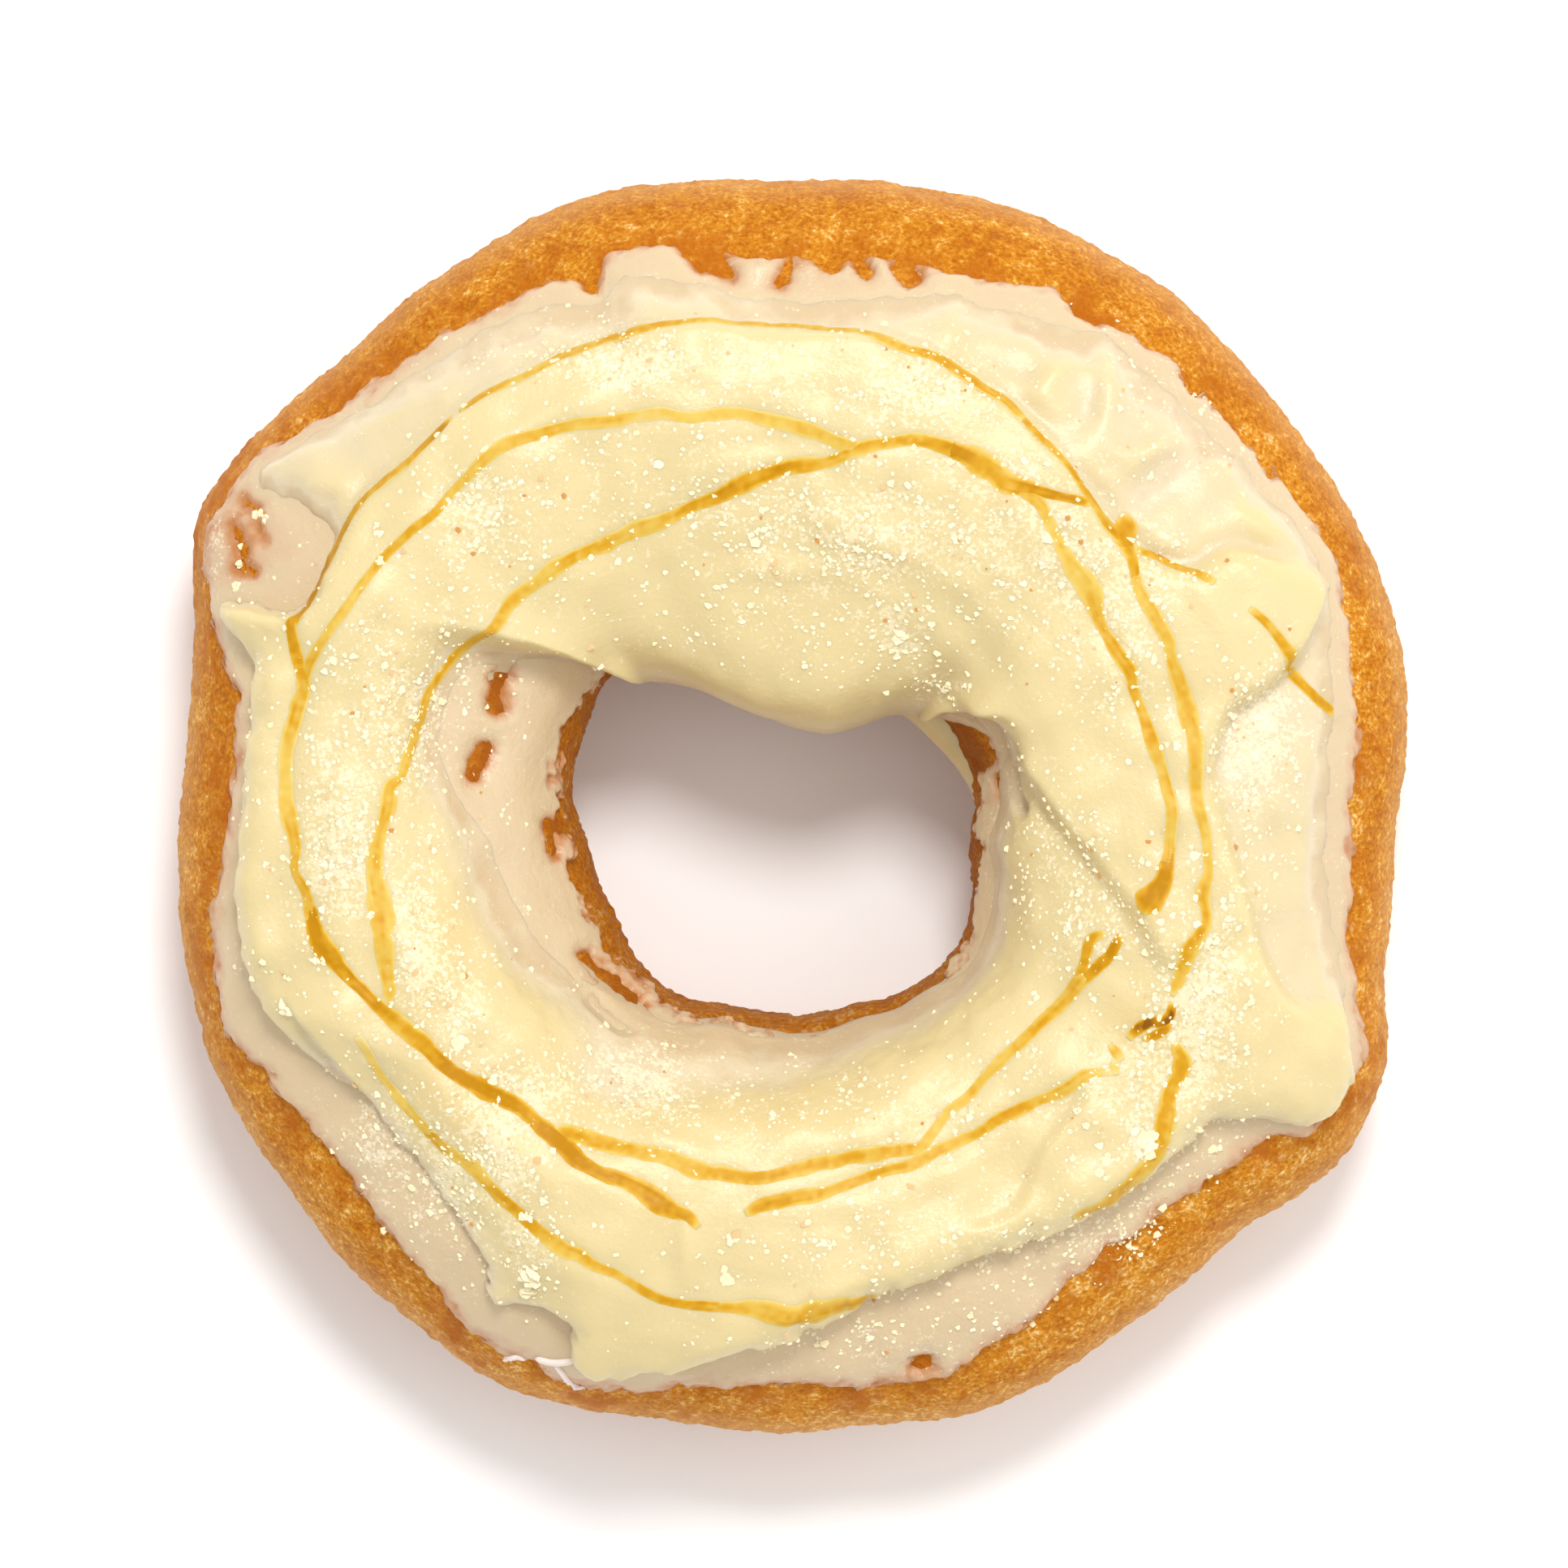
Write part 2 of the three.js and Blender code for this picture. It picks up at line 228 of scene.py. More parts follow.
class Route:
    """A path in plan, with the distance of other points from it."""

    STEPS = 5

    def __init__(self, points: Sequence[Sequence[float]], closed: bool = False) -> None:
        """Rounds the corners of the path.

        Args:
            points: Plan points, which may carry a width as a third number.
            closed: Whether the last point joins the first.
        """
        self.marks = rounded(np.array(points, float), closed, self.STEPS)
        if closed:
            self.marks = np.concatenate([self.marks, self.marks[:1]])
        along = np.diff(self.marks[:, :2], axis=0)
        self.walked = np.concatenate([[0.0], np.cumsum(np.hypot(along[:, 0], along[:, 1]))])

    @property
    def length(self) -> float:
        """Length of the path in plan."""
        return float(self.walked[-1])

    def field(self, x: Array, y: Array, reach: float) -> tuple[Array, Array]:
        """Signed distance to the nearest point of the path, above zero on its left, and where it lies.

        Args:
            x: Plan coordinates.
            y: Plan coordinates.
            reach: Distances beyond this are given as this, on the left.

        Returns:
            The distances, and the lengths walked along the path to the nearest points.
        """
        best = np.full(x.shape, reach)
        side = np.ones(x.shape)
        walked = np.zeros(x.shape)
        low = self.marks[:, :2].min(axis=0) - reach
        high = self.marks[:, :2].max(axis=0) + reach
        near = np.nonzero((x > low[0]) & (x < high[0]) & (y > low[1]) & (y < high[1]))
        near_x = x[near]
        near_y = y[near]
        near_best = best[near]
        near_side = side[near]
        near_walked = walked[near]
        for i, (start, end) in enumerate(zip(self.marks[:-1], self.marks[1:])):
            run_x, run_y = end[:2] - start[:2]
            away_x = near_x - start[0]
            away_y = near_y - start[1]
            t = np.clip((away_x * run_x + away_y * run_y) / (run_x**2 + run_y**2), 0.0, 1.0)
            gap = np.hypot(away_x - t * run_x, away_y - t * run_y)
            closer = gap < near_best
            near_best = np.where(closer, gap, near_best)
            near_side = np.where(closer, np.sign(run_x * away_y - run_y * away_x), near_side)
            near_walked = np.where(closer, self.walked[i] + t * math.hypot(run_x, run_y), near_walked)
        best[near] = near_best
        side[near] = near_side
        walked[near] = near_walked
        return best * side, walked

    def encloses(self, x: Array, y: Array) -> Array:
        """Whether each point lies inside the closed path, by counting the crossings of a level ray.

        Args:
            x: Plan coordinates.
            y: Plan coordinates.

        Returns:
            True for the points inside.
        """
        inside = np.zeros(x.shape, bool)
        for start, end in zip(self.marks[:-1], self.marks[1:]):
            crosses = (start[1] > y) != (end[1] > y)
            rise = end[1] - start[1]
            slope = (end[0] - start[0]) / (rise if rise else 1.0)
            inside ^= crosses & (x < start[0] + slope * (y - start[1]))
        return inside

    def inside_distance(self, x: Array, y: Array, reach: float) -> Array:
        """Distance from the closed path, above zero inside it and held at the reach."""
        gap = np.abs(self.field(x, y, reach)[0])
        return np.where(self.encloses(x, y), gap, -gap)


# Mesh making


def grid_object(name: str, points: Array, values: dict[str, Array]) -> Piece:
    """Makes a ring-shaped mesh from a grid of points that closes both ways.

    The grid's first axis runs round the section, with the outside on the right of its travel seen along the
    second axis, and the second axis runs round the ring.

    Args:
        name: Name of the object.
        points: Grid of places in millimetres, rows by columns by 3.
        values: Named numbers to store on the vertices, for the first rows. The other rows get 0.

    Returns:
        The new object, linked to the scene.
    """
    rows, columns = points.shape[:2]
    index = np.arange(rows * columns).reshape(rows, columns)
    below = np.roll(index, -1, axis=0)
    quads = np.stack([index, np.roll(index, -1, axis=1), np.roll(below, -1, axis=1), below], axis=-1)
    stored = {}
    for title, numbers in values.items():
        stored[title] = np.concatenate([numbers, np.zeros((rows - len(numbers), columns))])
    return mesh_object(name, points.reshape(-1, 3), quads.reshape(-1, 4), stored)


def mesh_object(
    name: str, points: Array, faces: Array, values: dict[str, Array], smooth: bool = True
) -> Piece:
    """Makes a mesh object.

    Args:
        name: Name of the object.
        points: Places in millimetres, in rows.
        faces: Vertex numbers, one face a row.
        values: Named numbers to store on the vertices.
        smooth: Whether the faces are shaded as one round surface.

    Returns:
        The new object, linked to the scene.
    """
    mesh = bpy.data.meshes.new(name)
    count, corners = faces.shape
    mesh.vertices.add(len(points))
    mesh.vertices.foreach_set("co", (points * MM).astype(np.float32).ravel())
    mesh.loops.add(faces.size)
    mesh.loops.foreach_set("vertex_index", faces.astype(np.int32).ravel())
    mesh.polygons.add(count)
    mesh.polygons.foreach_set("loop_start", np.arange(0, faces.size, corners, dtype=np.int32))
    mesh.polygons.foreach_set("use_smooth", np.full(count, smooth))
    mesh.update(calc_edges=True)
    mesh.validate()
    for title, numbers in values.items():
        attribute = mesh.attributes.new(title, "FLOAT", "POINT")
        attribute.data.foreach_set("value", numbers.astype(np.float32).ravel())
    piece = bpy.data.objects.new(name, mesh)
    bpy.context.scene.collection.objects.link(piece)
    return piece


# Materials

NOISE_ROUGHNESS = 0.6
BYTE_MAX = 255.0
# The sRGB curve: a straight foot up to the knee, then a power
SRGB_KNEE = 0.04045
SRGB_FOOT = 12.92
SRGB_OFFSET = 0.055
SRGB_POWER = 2.4


def linear(colour: str) -> tuple[float, float, float, float]:
    """Turns an sRGB hex colour to linear red, green, blue and full alpha.

    Args:
        colour: Six hex digits after a hash.

    Returns:
        Linear values from 0 to 1.
    """
    parts = np.array(list(bytes.fromhex(colour[1:]))) / BYTE_MAX
    curved = ((parts + SRGB_OFFSET) / (1.0 + SRGB_OFFSET)) ** SRGB_POWER
    red, green, blue = np.where(parts <= SRGB_KNEE, parts / SRGB_FOOT, curved)
    return float(red), float(green), float(blue), 1.0


@dataclass(frozen=True)
class Speckle:
    """Noise in a material: the size of its features, how many finer sizes it has, and its share in a sum."""

    size_mm: float
    detail: float
    share: float = 1.0


class Nodes:
    """The nodes of one material or world."""

    def __init__(self, owner: Material | bpy.types.World) -> None:
        """Turns the owner's nodes on."""
        owner.use_nodes = True
        self.owner = owner
        self.tree = owner.node_tree

    def feed(self, node: bpy.types.Node, inputs: dict) -> None:
        """Sets a node's inputs to values, or links them to sockets.

        Args:
            node: The node.
            inputs: Values or output sockets, by the name or number of the input.
        """
        for title, value in inputs.items():
            if isinstance(value, Socket):
                self.tree.links.new(value, node.inputs[title])
            else:
                node.inputs[title].default_value = value

    def add(self, kind: str, output: str, inputs: dict, **settings: str) -> Socket:
        """Adds a node with its settings, and sets or links its inputs.

        Args:
            kind: End of Blender's name of the kind of node.
            output: Name of the output to use.
            inputs: Values or output sockets, by the name or number of the input.
            settings: Attributes to set on the node.

        Returns:
            The output's socket.
        """
        node = self.tree.nodes.new(f"ShaderNode{kind}")
        for title, value in settings.items():
            setattr(node, title, value)
        self.feed(node, inputs)
        return node.outputs[output]

    @cached_property
    def place(self) -> Socket:
        """The Object coordinates."""
        return self.add("TexCoord", "Object", {})

    def noise(self, speckle: Speckle) -> Socket:
        """Fractal noise from 0 to 1."""
        sizes = {"Scale": 1.0 / (speckle.size_mm * MM), "Detail": speckle.detail}
        return self.add("TexNoise", "Fac", {"Vector": self.place, "Roughness": NOISE_ROUGHNESS, **sizes})

    def stored(self, title: str) -> Socket:
        """A number that is stored on the vertices."""
        return self.add("Attribute", "Fac", {}, attribute_name=title)

    def weighted(self, value: Socket, weight: float, rest: Socket | float) -> Socket:
        """A value times a weight, added to the rest."""
        return self.add("Math", "Value", {0: value, 1: weight, 2: rest}, operation="MULTIPLY_ADD")

    def mix(self, share: Socket, first: Socket, second: str) -> Socket:
        """A colour with a share of a hex colour mixed in."""
        inputs = {"Factor": share, "A": first, "B": linear(second)}
        return self.add("Mix", "Result", inputs, data_type="RGBA")

    def bump(self, height: Socket, strength: float, depth_mm: float) -> Socket:
        """The normal, tilted by a fine relief from 0 to 1."""
        inputs = {"Height": height, "Strength": strength, "Distance": depth_mm * MM}
        return self.add("Bump", "Normal", inputs)

    def ramp(self, value: Socket, stops: Stops) -> Socket:
        """Colours a number by a ramp.

        Args:
            value: The number.
            stops: Numbers from 0 to 1, rising, and the hex colours there.

        Returns:
            The colour's socket.
        """
        socket = self.add("ValToRGB", "Color", {"Fac": value})
        elements = socket.node.color_ramp.elements
        while len(elements) < len(stops):
            elements.new(1.0)
        for element, (place, colour) in zip(elements, stops):
            element.position = place
            element.color = linear(colour)
        return socket


@dataclass(frozen=True)
class Finish:
    """What the finishes share: a material with a principled shader, which may let light in."""

    title: str
    roughness: float = 0.6
    specular: float = 0.5
    # How much light goes in and comes out again, how far each colour goes, and how far they go in all
    scatter: float = 0.0
    scatter_colour: tuple[float, float, float] = (1.0, 1.0, 1.0)
    scatter_mm: float = 1.0

    def start(self) -> Nodes:
        """Makes the material, and gives its nodes."""
        return Nodes(bpy.data.materials.new(self.title))

    def shade(self, nodes: Nodes, colour: Colour, normal: Socket | None = None) -> Material:
        """Sets the material's shader.

        Args:
            nodes: The material's nodes.
            colour: Its colour, as a socket or a linear value.
            normal: Its normal, where a fine relief tilts it.

        Returns:
            The material.
        """
        inputs = {
            "Base Color": colour, "Roughness": self.roughness, "Specular IOR Level": self.specular,
            "Subsurface Weight": self.scatter, "Subsurface Radius": self.scatter_colour,
            "Subsurface Scale": self.scatter_mm * MM}
        if normal:
            inputs["Normal"] = normal
        nodes.feed(nodes.tree.nodes["Principled BSDF"], inputs)
        return nodes.owner


@dataclass(frozen=True)
class FineDust:
    """Powder too fine for grains: specks in clumps, the more of them the higher the stored dust."""

    colour: str
    speck: Speckle
    clump: Speckle
    stored_share: float = 0.3
    limits: Range = (0.9, 1.06)
    cover: float = 0.55

    def strew(self, nodes: Nodes, ground: Socket) -> Socket:
        """Strews the specks over a colour.

        Args:
            nodes: Nodes to add to.
            ground: Colour under the powder.

        Returns:
            The strewn colour's socket.
        """
        share = nodes.weighted(nodes.noise(self.clump), self.clump.share, nodes.noise(self.speck))
        share = nodes.weighted(nodes.stored("dust"), self.stored_share, share)
        limits = {"From Min": self.limits[0], "From Max": self.limits[1], "To Min": 0.0, "To Max": self.cover}
        return nodes.mix(nodes.add("MapRange", "Result", {"Value": share, **limits}), ground, self.colour)


@dataclass(frozen=True)
class FriedCrust(Finish):
    """Fried dough: a dry golden crust, mottled from its bubbles, with a fine sandy grain."""

    # Gives the eye a dry gold, sandy close up, pale at the equator, dark by the glaze, in the hole brown with
    # painted shade
    title: str = "fried_dough_crust"
    roughness: float = 0.6
    specular: float = 0.12
    tones: Stops = ((0.46, "#ad5d02"), (0.7, "#c77d12"), (0.85, "#d89833"), (0.98, "#efc888"))
    pale: str = "#d6a468"
    toast: str = "#b25f02"
    # Browner crust with painted shade, for the hole's wall and its bare pits
    brown: str = "#98500f"
    blotch: Speckle = Speckle(5.0, 3.0, 0.45)
    mottle: Speckle = Speckle(1.1, 4.0, 0.7)
    grain: Speckle = Speckle(0.36, 3.0, 1.1)
    # Painted light: how much paler the crust is towards the bottom and darker on the far side
    painted_side_light_share: float = 0.04
    tone_shift: float = -0.425
    relief_share: float = 0.8
    bump: float = 0.8
    bump_mm: float = 0.25

    def build(self) -> Material:
        """Mixes blotches, mottling, grain and painted side light, pales the equator, toasts the rim, browns
        and shades the hole.

        Returns:
            The material.
        """
        nodes = self.start()
        mottle = nodes.noise(self.mottle)
        grain = nodes.noise(self.grain)
        # Painted light: the crust is paler on the side towards the bottom, a little to the right, and darker
        # opposite
        tone = nodes.weighted(nodes.stored("painted_side_light"), self.painted_side_light_share, self.tone_shift)
        tone = nodes.weighted(nodes.noise(self.blotch), self.blotch.share, tone)
        tone = nodes.weighted(mottle, self.mottle.share, tone)
        tone = nodes.weighted(grain, self.grain.share, tone)
        colour = nodes.ramp(tone, self.tones)
        colour = nodes.mix(nodes.stored("equator"), colour, self.pale)
        colour = nodes.mix(nodes.stored("toast"), colour, self.toast)
        # The hole's wall and pits: browner crust and painted shade
        colour = nodes.mix(nodes.stored("hole"), colour, self.brown)
        relief = nodes.weighted(mottle, self.relief_share, grain)
        return self.shade(nodes, colour, nodes.bump(relief, self.bump, self.bump_mm))


@dataclass(frozen=True)
class SetGlaze(Finish):
    """Set sugar glaze: a thin milky coat that dries satin, tinted by the crust where it is thinnest."""

    # Gives the eye a satin milky skin, rosy and then brown where the crust shows through
    title: str = "set_sugar_glaze"
    roughness: float = 0.36
    scatter: float = 0.25
    scatter_colour: tuple[float, float, float] = (1.0, 0.6, 0.4)
    scatter_mm: float = 0.8
    tints: Stops = ((0.36, "#b9783f"), (0.66, "#cdab88"), (1.0, "#d2bb96"))
    dust: FineDust = FineDust("#f6ecd0", Speckle(0.33, 2.0), Speckle(1.32, 1.0, 0.45))
    cloud: Speckle = Speckle(2.6, 5.0, 0.7)
    pimple: Speckle = Speckle(0.7, 3.0)
    bump: float = 0.4
    bump_mm: float = 0.25

    def build(self) -> Material:
        """Runs from the thin tint to the full one by the stored cover, clouded by noise, with fine dust.

        Returns:
            The material.
        """
        nodes = self.start()
        cover = nodes.weighted(nodes.noise(self.cloud), self.cloud.share, nodes.stored("cover"))
        colour = self.dust.strew(nodes, nodes.ramp(cover, self.tints))
        normal = nodes.bump(nodes.noise(self.pimple), self.bump, self.bump_mm)
        return self.shade(nodes, colour, normal)


@dataclass(frozen=True)
class SpreadCream(Finish):
    """Butter cream icing, spread with a spatula: satin pale yellow, whiter where thin, stained by caramel."""

    # Gives the eye a soft pale yellow that light enters, milky where it is thin and amber by the strands
    title: str = "spread_cream_icing"
    roughness: float = 0.38
    scatter: float = 0.4
    scatter_colour: tuple[float, float, float] = (1.0, 0.85, 0.5)
    scatter_mm: float = 1.4
    tints: Stops = ((0.2, "#cfb791"), (0.34, "#dbcaa9"), (0.48, "#d8c7a0"), (0.9, "#dbc894"))
    caramel: str = "#cfa448"
    dust: FineDust = FineDust("#f6eaca", Speckle(0.36, 2.0), Speckle(1.44, 1.0, 0.45))
    cloud: Speckle = Speckle(4.0, 5.0, 0.5)
    grain: Speckle = Speckle(0.5, 3.0)
    bump: float = 0.3
    bump_mm: float = 0.2

    def build(self) -> Material:
        """Runs from thin to full by the stored cover, then to caramel by the stored stain, with fine dust.

        Returns:
            The material.
        """
        nodes = self.start()
        cover = nodes.weighted(nodes.noise(self.cloud), self.cloud.share, nodes.stored("cover"))
        colour = nodes.mix(nodes.stored("stain"), nodes.ramp(cover, self.tints), self.caramel)
        normal = nodes.bump(nodes.noise(self.grain), self.bump, self.bump_mm)
        return self.shade(nodes, self.dust.strew(nodes, colour), normal)


@dataclass(frozen=True)
class CookedCaramel(Finish):
    """Cooked caramel sauce: clear amber syrup, deeper where it has pooled and brown where it is burnt."""

    # Gives the eye amber lines, from a pale film at their edges to brown where they are deepest
    title: str = "cooked_caramel"
    roughness: float = 0.4
    specular: float = 0.1
    tints: Stops = (
        (0.1, "#dac88f"), (0.3, "#d8b756"), (0.55, "#cc961e"), (0.85, "#b67c04"), (1.0, "#84500f"))
    cloud: Speckle = Speckle(3.0, 4.0, 0.12)

    def build(self) -> Material:
        """Runs from a film to pooled and burnt syrup by the stored depth and a little noise.

        Returns:
            The material.
        """
        nodes = self.start()
        depth = nodes.weighted(nodes.noise(self.cloud), self.cloud.share, nodes.stored("depth"))
        return self.shade(nodes, nodes.ramp(depth, self.tints))


@dataclass(frozen=True)
class MilkPowder(Finish):
    """Dusted milk powder and biscuit crumb: dry matt grains from cream white to biscuit."""

    # Gives the eye dry specks that catch the light, nearly white, with a few of biscuit
    title: str = "milk_powder_crumb"
    roughness: float = 0.9
    specular: float = 0.2
    tints: Stops = ((0.0, "#f5eaca"), (0.9, "#e9d8aa"), (1.0, "#c98f4c"))

    def build(self) -> Material:
        """Colours each grain by its own stored shade."""
        nodes = self.start()
        return self.shade(nodes, nodes.ramp(nodes.stored("shade"), self.tints))


@dataclass(frozen=True)
class WhitePaper(Finish):
    """White paper: the plain matt floor."""

    # Gives the eye a plain white ground that takes the shadow
    title: str = "white_paper"
    roughness: float = 0.9
    specular: float = 0.1
    colour: str = "#ffffff"

    def build(self) -> Material:
        """Makes the paper in one colour."""
        return self.shade(self.start(), linear(self.colour))


# The ring and its layers


@dataclass(frozen=True)
class RingForm:
    """The dough's skin, on which every layer lies."""

    centre: tuple[float, float] = (-1.1, -3.8)
    crown_height: float = 25.6
    crown_sway: float = 0.5
    crown_high_bearing: float = 60.0
    equator_height: float = 12.4
    foot_flattening: float = 1.16
    lump_height: float = 0.3
    lumps_round: int = 5
    lumps_over: int = 2
    lump_floor: float = 0.5
    ring_radius: Curve = around_ring(
        (0, 47.1), (10, 49), (20, 50.7), (40, 51.4), (60, 52.6), (70, 52.7), (90, 51.8), (105, 52.5),
        (120, 51.6), (130, 50.7), (148, 51.8), (160, 48.1), (172, 46.1), (190, 46.4), (205, 46.2),
        (220, 45.7), (240, 46.2), (260, 44.5), (275, 44.4), (290, 45.5), (300, 45.3), (320, 45.7), (327, 48),
        (333, 49.5), (340, 49.3), (350, 47.3))
    halvings: int = 24
    hole_radius: Curve = around_ring(
        (0, 14.8), (15, 15.5), (30, 15.9), (45, 15.8), (57, 14.4), (70, 13.8), (90, 14.2), (109, 16),
        (124, 18), (134, 18.8), (143, 18.2), (155, 17.4), (167, 16.2), (180, 14.6), (205, 13.6), (220, 13.6),
        (238, 13.1), (255, 12.3), (270, 12.6), (295, 13), (310, 14.1), (325, 15.1), (340, 15.6))

    def section(self, bearing: Array) -> tuple[Array, Array, Array]:
        """Sizes of the section: its middle radius, its half width, and the crown's rise above the equator.

        Args:
            bearing: Degrees round the ring.

        Returns:
            Three arrays in millimetres.
        """
        outer = self.ring_radius(bearing)
        inner = self.hole_radius(bearing)
        sway = self.crown_sway * np.cos(np.radians(2.0 * (bearing - self.crown_high_bearing)))
        return (outer + inner) / 2.0, (outer - inner) / 2.0, self.crown_height + sway - self.equator_height

    def lumps(self, bearing: Array, angle: Array) -> Array:
        """Gentle unevenness: one wave round and over the ring times another, fading below the equator.

        Args:
            bearing: Degrees round the ring.
            angle: Degrees on the section.

        Returns:
            Heights in millimetres.
        """
        fade = np.clip(np.sin(np.radians(angle)) + self.lump_floor, 0.0, None) / (1.0 + self.lump_floor)
        along = np.sin(np.radians(self.lumps_round * bearing + self.lumps_over * angle))
        across = np.cos(np.radians(self.lumps_over * (self.lumps_round * bearing - angle)))
        return self.lump_height * fade * along * across

    def radius_height(self, bearing: Array, angle: Array, above: Array | float) -> tuple[Array, Array]:
        """Radius and height of points above the skin: an ellipse, cut flat below, raised along its normal.

        Args:
            bearing: Degrees round the ring.
            angle: Degrees on the section.
            above: Millimetres above the skin.

        Returns:
            Radii from the ring's centre and heights.
        """
        middle, half, rise = self.section(bearing)
        cosine = np.cos(np.radians(angle))
        sine = np.sin(np.radians(angle))
        vertical = np.where(sine >= 0.0, rise, self.equator_height * self.foot_flattening)
        height = np.maximum(0.0, self.equator_height + vertical * sine)
        out = cosine / half
        up = sine / vertical
        size = np.hypot(out, up)
        lift = above + self.lumps(bearing, angle)
        return middle + half * cosine + lift * out / size, height + lift * up / size

    def points(self, bearing: Array, angle: Array, above: Array | float) -> Array:
        """Places above the skin.

        Args:
            bearing: Degrees round the ring.
            angle: Degrees on the section.
            above: Millimetres above the skin.

        Returns:
            Array whose last axis is x, y, z.
        """
        radius, height = self.radius_height(bearing, angle, above)
        turn = np.radians(bearing)
        x = self.centre[0] + radius * np.cos(turn)
        y = self.centre[1] + radius * np.sin(turn)
        return np.stack(np.broadcast_arrays(x, y, height), axis=-1)

    def locate(self, x: Array, y: Array, above: Array | float) -> tuple[Array, Array]:
        """Finds the bearing, and by halving the angle, at which a surface above the skin has a plan place.

        Args:
            x: Plan coordinates.
            y: Plan coordinates.
            above: The surface's height above the skin.

        Returns:
            Bearings and angles on the upper side, in degrees.
        """
        bearing = np.degrees(np.arctan2(y - self.centre[1], x - self.centre[0]))
        radius = np.hypot(x - self.centre[0], y - self.centre[1])
        low = np.zeros(x.shape)
        high = np.full(x.shape, HALF_TURN)
        for _ in range(self.halvings):
            middle = (low + high) / 2.0
            wide = self.radius_height(bearing, middle, above)[0] > radius
            low = np.where(wide, middle, low)
            high = np.where(wide, high, middle)
        return bearing, (low + high) / 2.0

    def underside(self, bearing: Array, ends: tuple[Array, Array], steps: int, above: float) -> Array:
        """Bottom of a layer: rows of points at one height, back from the layer's last angle to its first.

        Args:
            bearing: Degrees round the ring.
            ends: First and last angles of the layer, at each bearing.
            steps: Rows to make.
            above: Millimetres above the skin.

        Returns:
            Grid of places.
        """
        angle = ends[0] + (ends[1] - ends[0]) * np.linspace(1.0, 0.0, steps)[:, None]
        return self.points(np.broadcast_to(bearing, angle.shape), angle, above)


@dataclass(frozen=True)
class Lamp:
    """A round soft box turned to the ring: where it stands, how wide it is, and its light on the ring."""

    title: str
    azimuth: float
    elevation: float
    distance: float
    width: float
    strength: float

    def build(self) -> None:
        """Adds the light to the scene."""
        disk = bpy.data.lights.new(self.title, "AREA")
        disk.shape = "DISK"
        disk.size = self.width * MM
        disk.energy = self.strength * math.pi * (self.distance * MM) ** 2
        turn = math.radians(self.azimuth)
        rise = math.radians(self.elevation)
        reach = self.distance * math.cos(rise) * MM
        lamp = bpy.data.objects.new(self.title, disk)
        lamp.location = (reach * math.cos(turn), reach * math.sin(turn), self.distance * math.sin(rise) * MM)
        lamp.rotation_euler = (math.pi / 2.0 - rise, 0.0, turn + math.pi / 2.0)
        bpy.context.scene.collection.objects.link(lamp)


@dataclass(frozen=True)
class Studio:
    """Camera straight above, a soft key from the far side, a wide fill from the right and a pale floor."""

    eye: tuple[float, float] = (-0.75, 1.5)
    distance: float = 1200.0
    frame_width: float = 120.75
    sensor: float = 36.0
    view_reach: float = 8000.0
    floor_side: float = 4000.0
    lamps: tuple[Lamp, ...] = (
        Lamp("key", 81.0, 63.5, 1300.0, 350.0, 1.9), Lamp("fill", 2.0, 45.0, 1300.0, 1050.0, 0.58))
    sky_colour: str = "#ffffff"
    sky_strength: float = 0.77

    def seen_scale(self, height: float, level: float) -> float:
        """How much smaller a thing at a height is than it looks against the frame's level."""
        return (self.distance - height) / (self.distance - level)

    def add_camera(self, level: float) -> None:
        """Adds the camera, looking straight down.

        Args:
            level: Height at which the frame has its stated width.
        """
        camera = bpy.data.cameras.new("camera")
        camera.sensor_width = self.sensor
        camera.lens = self.sensor * (self.distance - level) / self.frame_width
        camera.clip_end = self.view_reach * MM
        viewer = bpy.data.objects.new("camera", camera)
        viewer.location = (self.eye[0] * MM, self.eye[1] * MM, self.distance * MM)
        bpy.context.scene.collection.objects.link(viewer)
        bpy.context.scene.camera = viewer

    def add_sky(self) -> None:
        """Adds even light from all sides, and shows colours as they are."""
        world = bpy.data.worlds.new("sky")
        nodes = Nodes(world)
        inputs = {"Color": linear(self.sky_colour), "Strength": self.sky_strength}
        nodes.feed(nodes.tree.nodes["Background"], inputs)
        bpy.context.scene.world = world
        bpy.context.scene.view_settings.view_transform = "Standard"

    def add_floor(self) -> None:
        """Adds the floor, one square."""
        half = self.floor_side / 2.0
        corners = np.array([[-half, -half, 0.0], [half, -half, 0.0], [half, half, 0.0], [-half, half, 0.0]])
        floor = mesh_object("floor", corners, np.arange(len(corners))[None], {})
        floor.data.materials.append(WhitePaper().build())

    def build(self, level: float) -> None:
        """Adds the camera, the lights and the floor.

        Args:
            level: Height at which the frame has its stated width.
        """
        self.add_camera(level)
        for lamp in self.lamps:
            lamp.build()
        self.add_sky()
        self.add_floor()


def finish_piece(piece: Piece, material: Material, layer: Layer | None) -> None:
    """Dresses a piece, ties it to the doughnut and reports it.

    Args:
        piece: The piece.
        material: Its material.
        layer: The solid that the piece replaces, if any.
    """
    piece.data.materials.append(material)
    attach(piece, "root")
    if layer:
        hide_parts(layer.value)
    log.info("%s: %d vertices, %d faces", piece.name, len(piece.data.vertices), len(piece.data.polygons))


@dataclass(frozen=True)
class Patch:
    """A soft oval patch in plan, with how strong it is at its middle."""

    x: float
    y: float
    half_x: float
    half_y: float
    strength: float = 1.0

    def weight(self, x: Array, y: Array) -> Array:
        """Bell over the patch."""
        away = ((x - self.x) / self.half_x) ** 2 + ((y - self.y) / self.half_y) ** 2
        return self.strength * np.exp(-away)


def covered(patches: Sequence[Patch], places: Array, scale: float) -> Array:
    """Sum of patches, held below 1.

    Args:
        patches: The patches.
        places: Array whose last axis is x, y, z.
        scale: Size of the plan against the patches' places.

    Returns:
        Numbers from 0 to 1.
    """
    total = np.zeros(places.shape[:-1])
    for patch in patches:
        total += patch.weight(places[..., 0] / scale, places[..., 1] / scale)
    return np.clip(total, 0.0, 1.0)
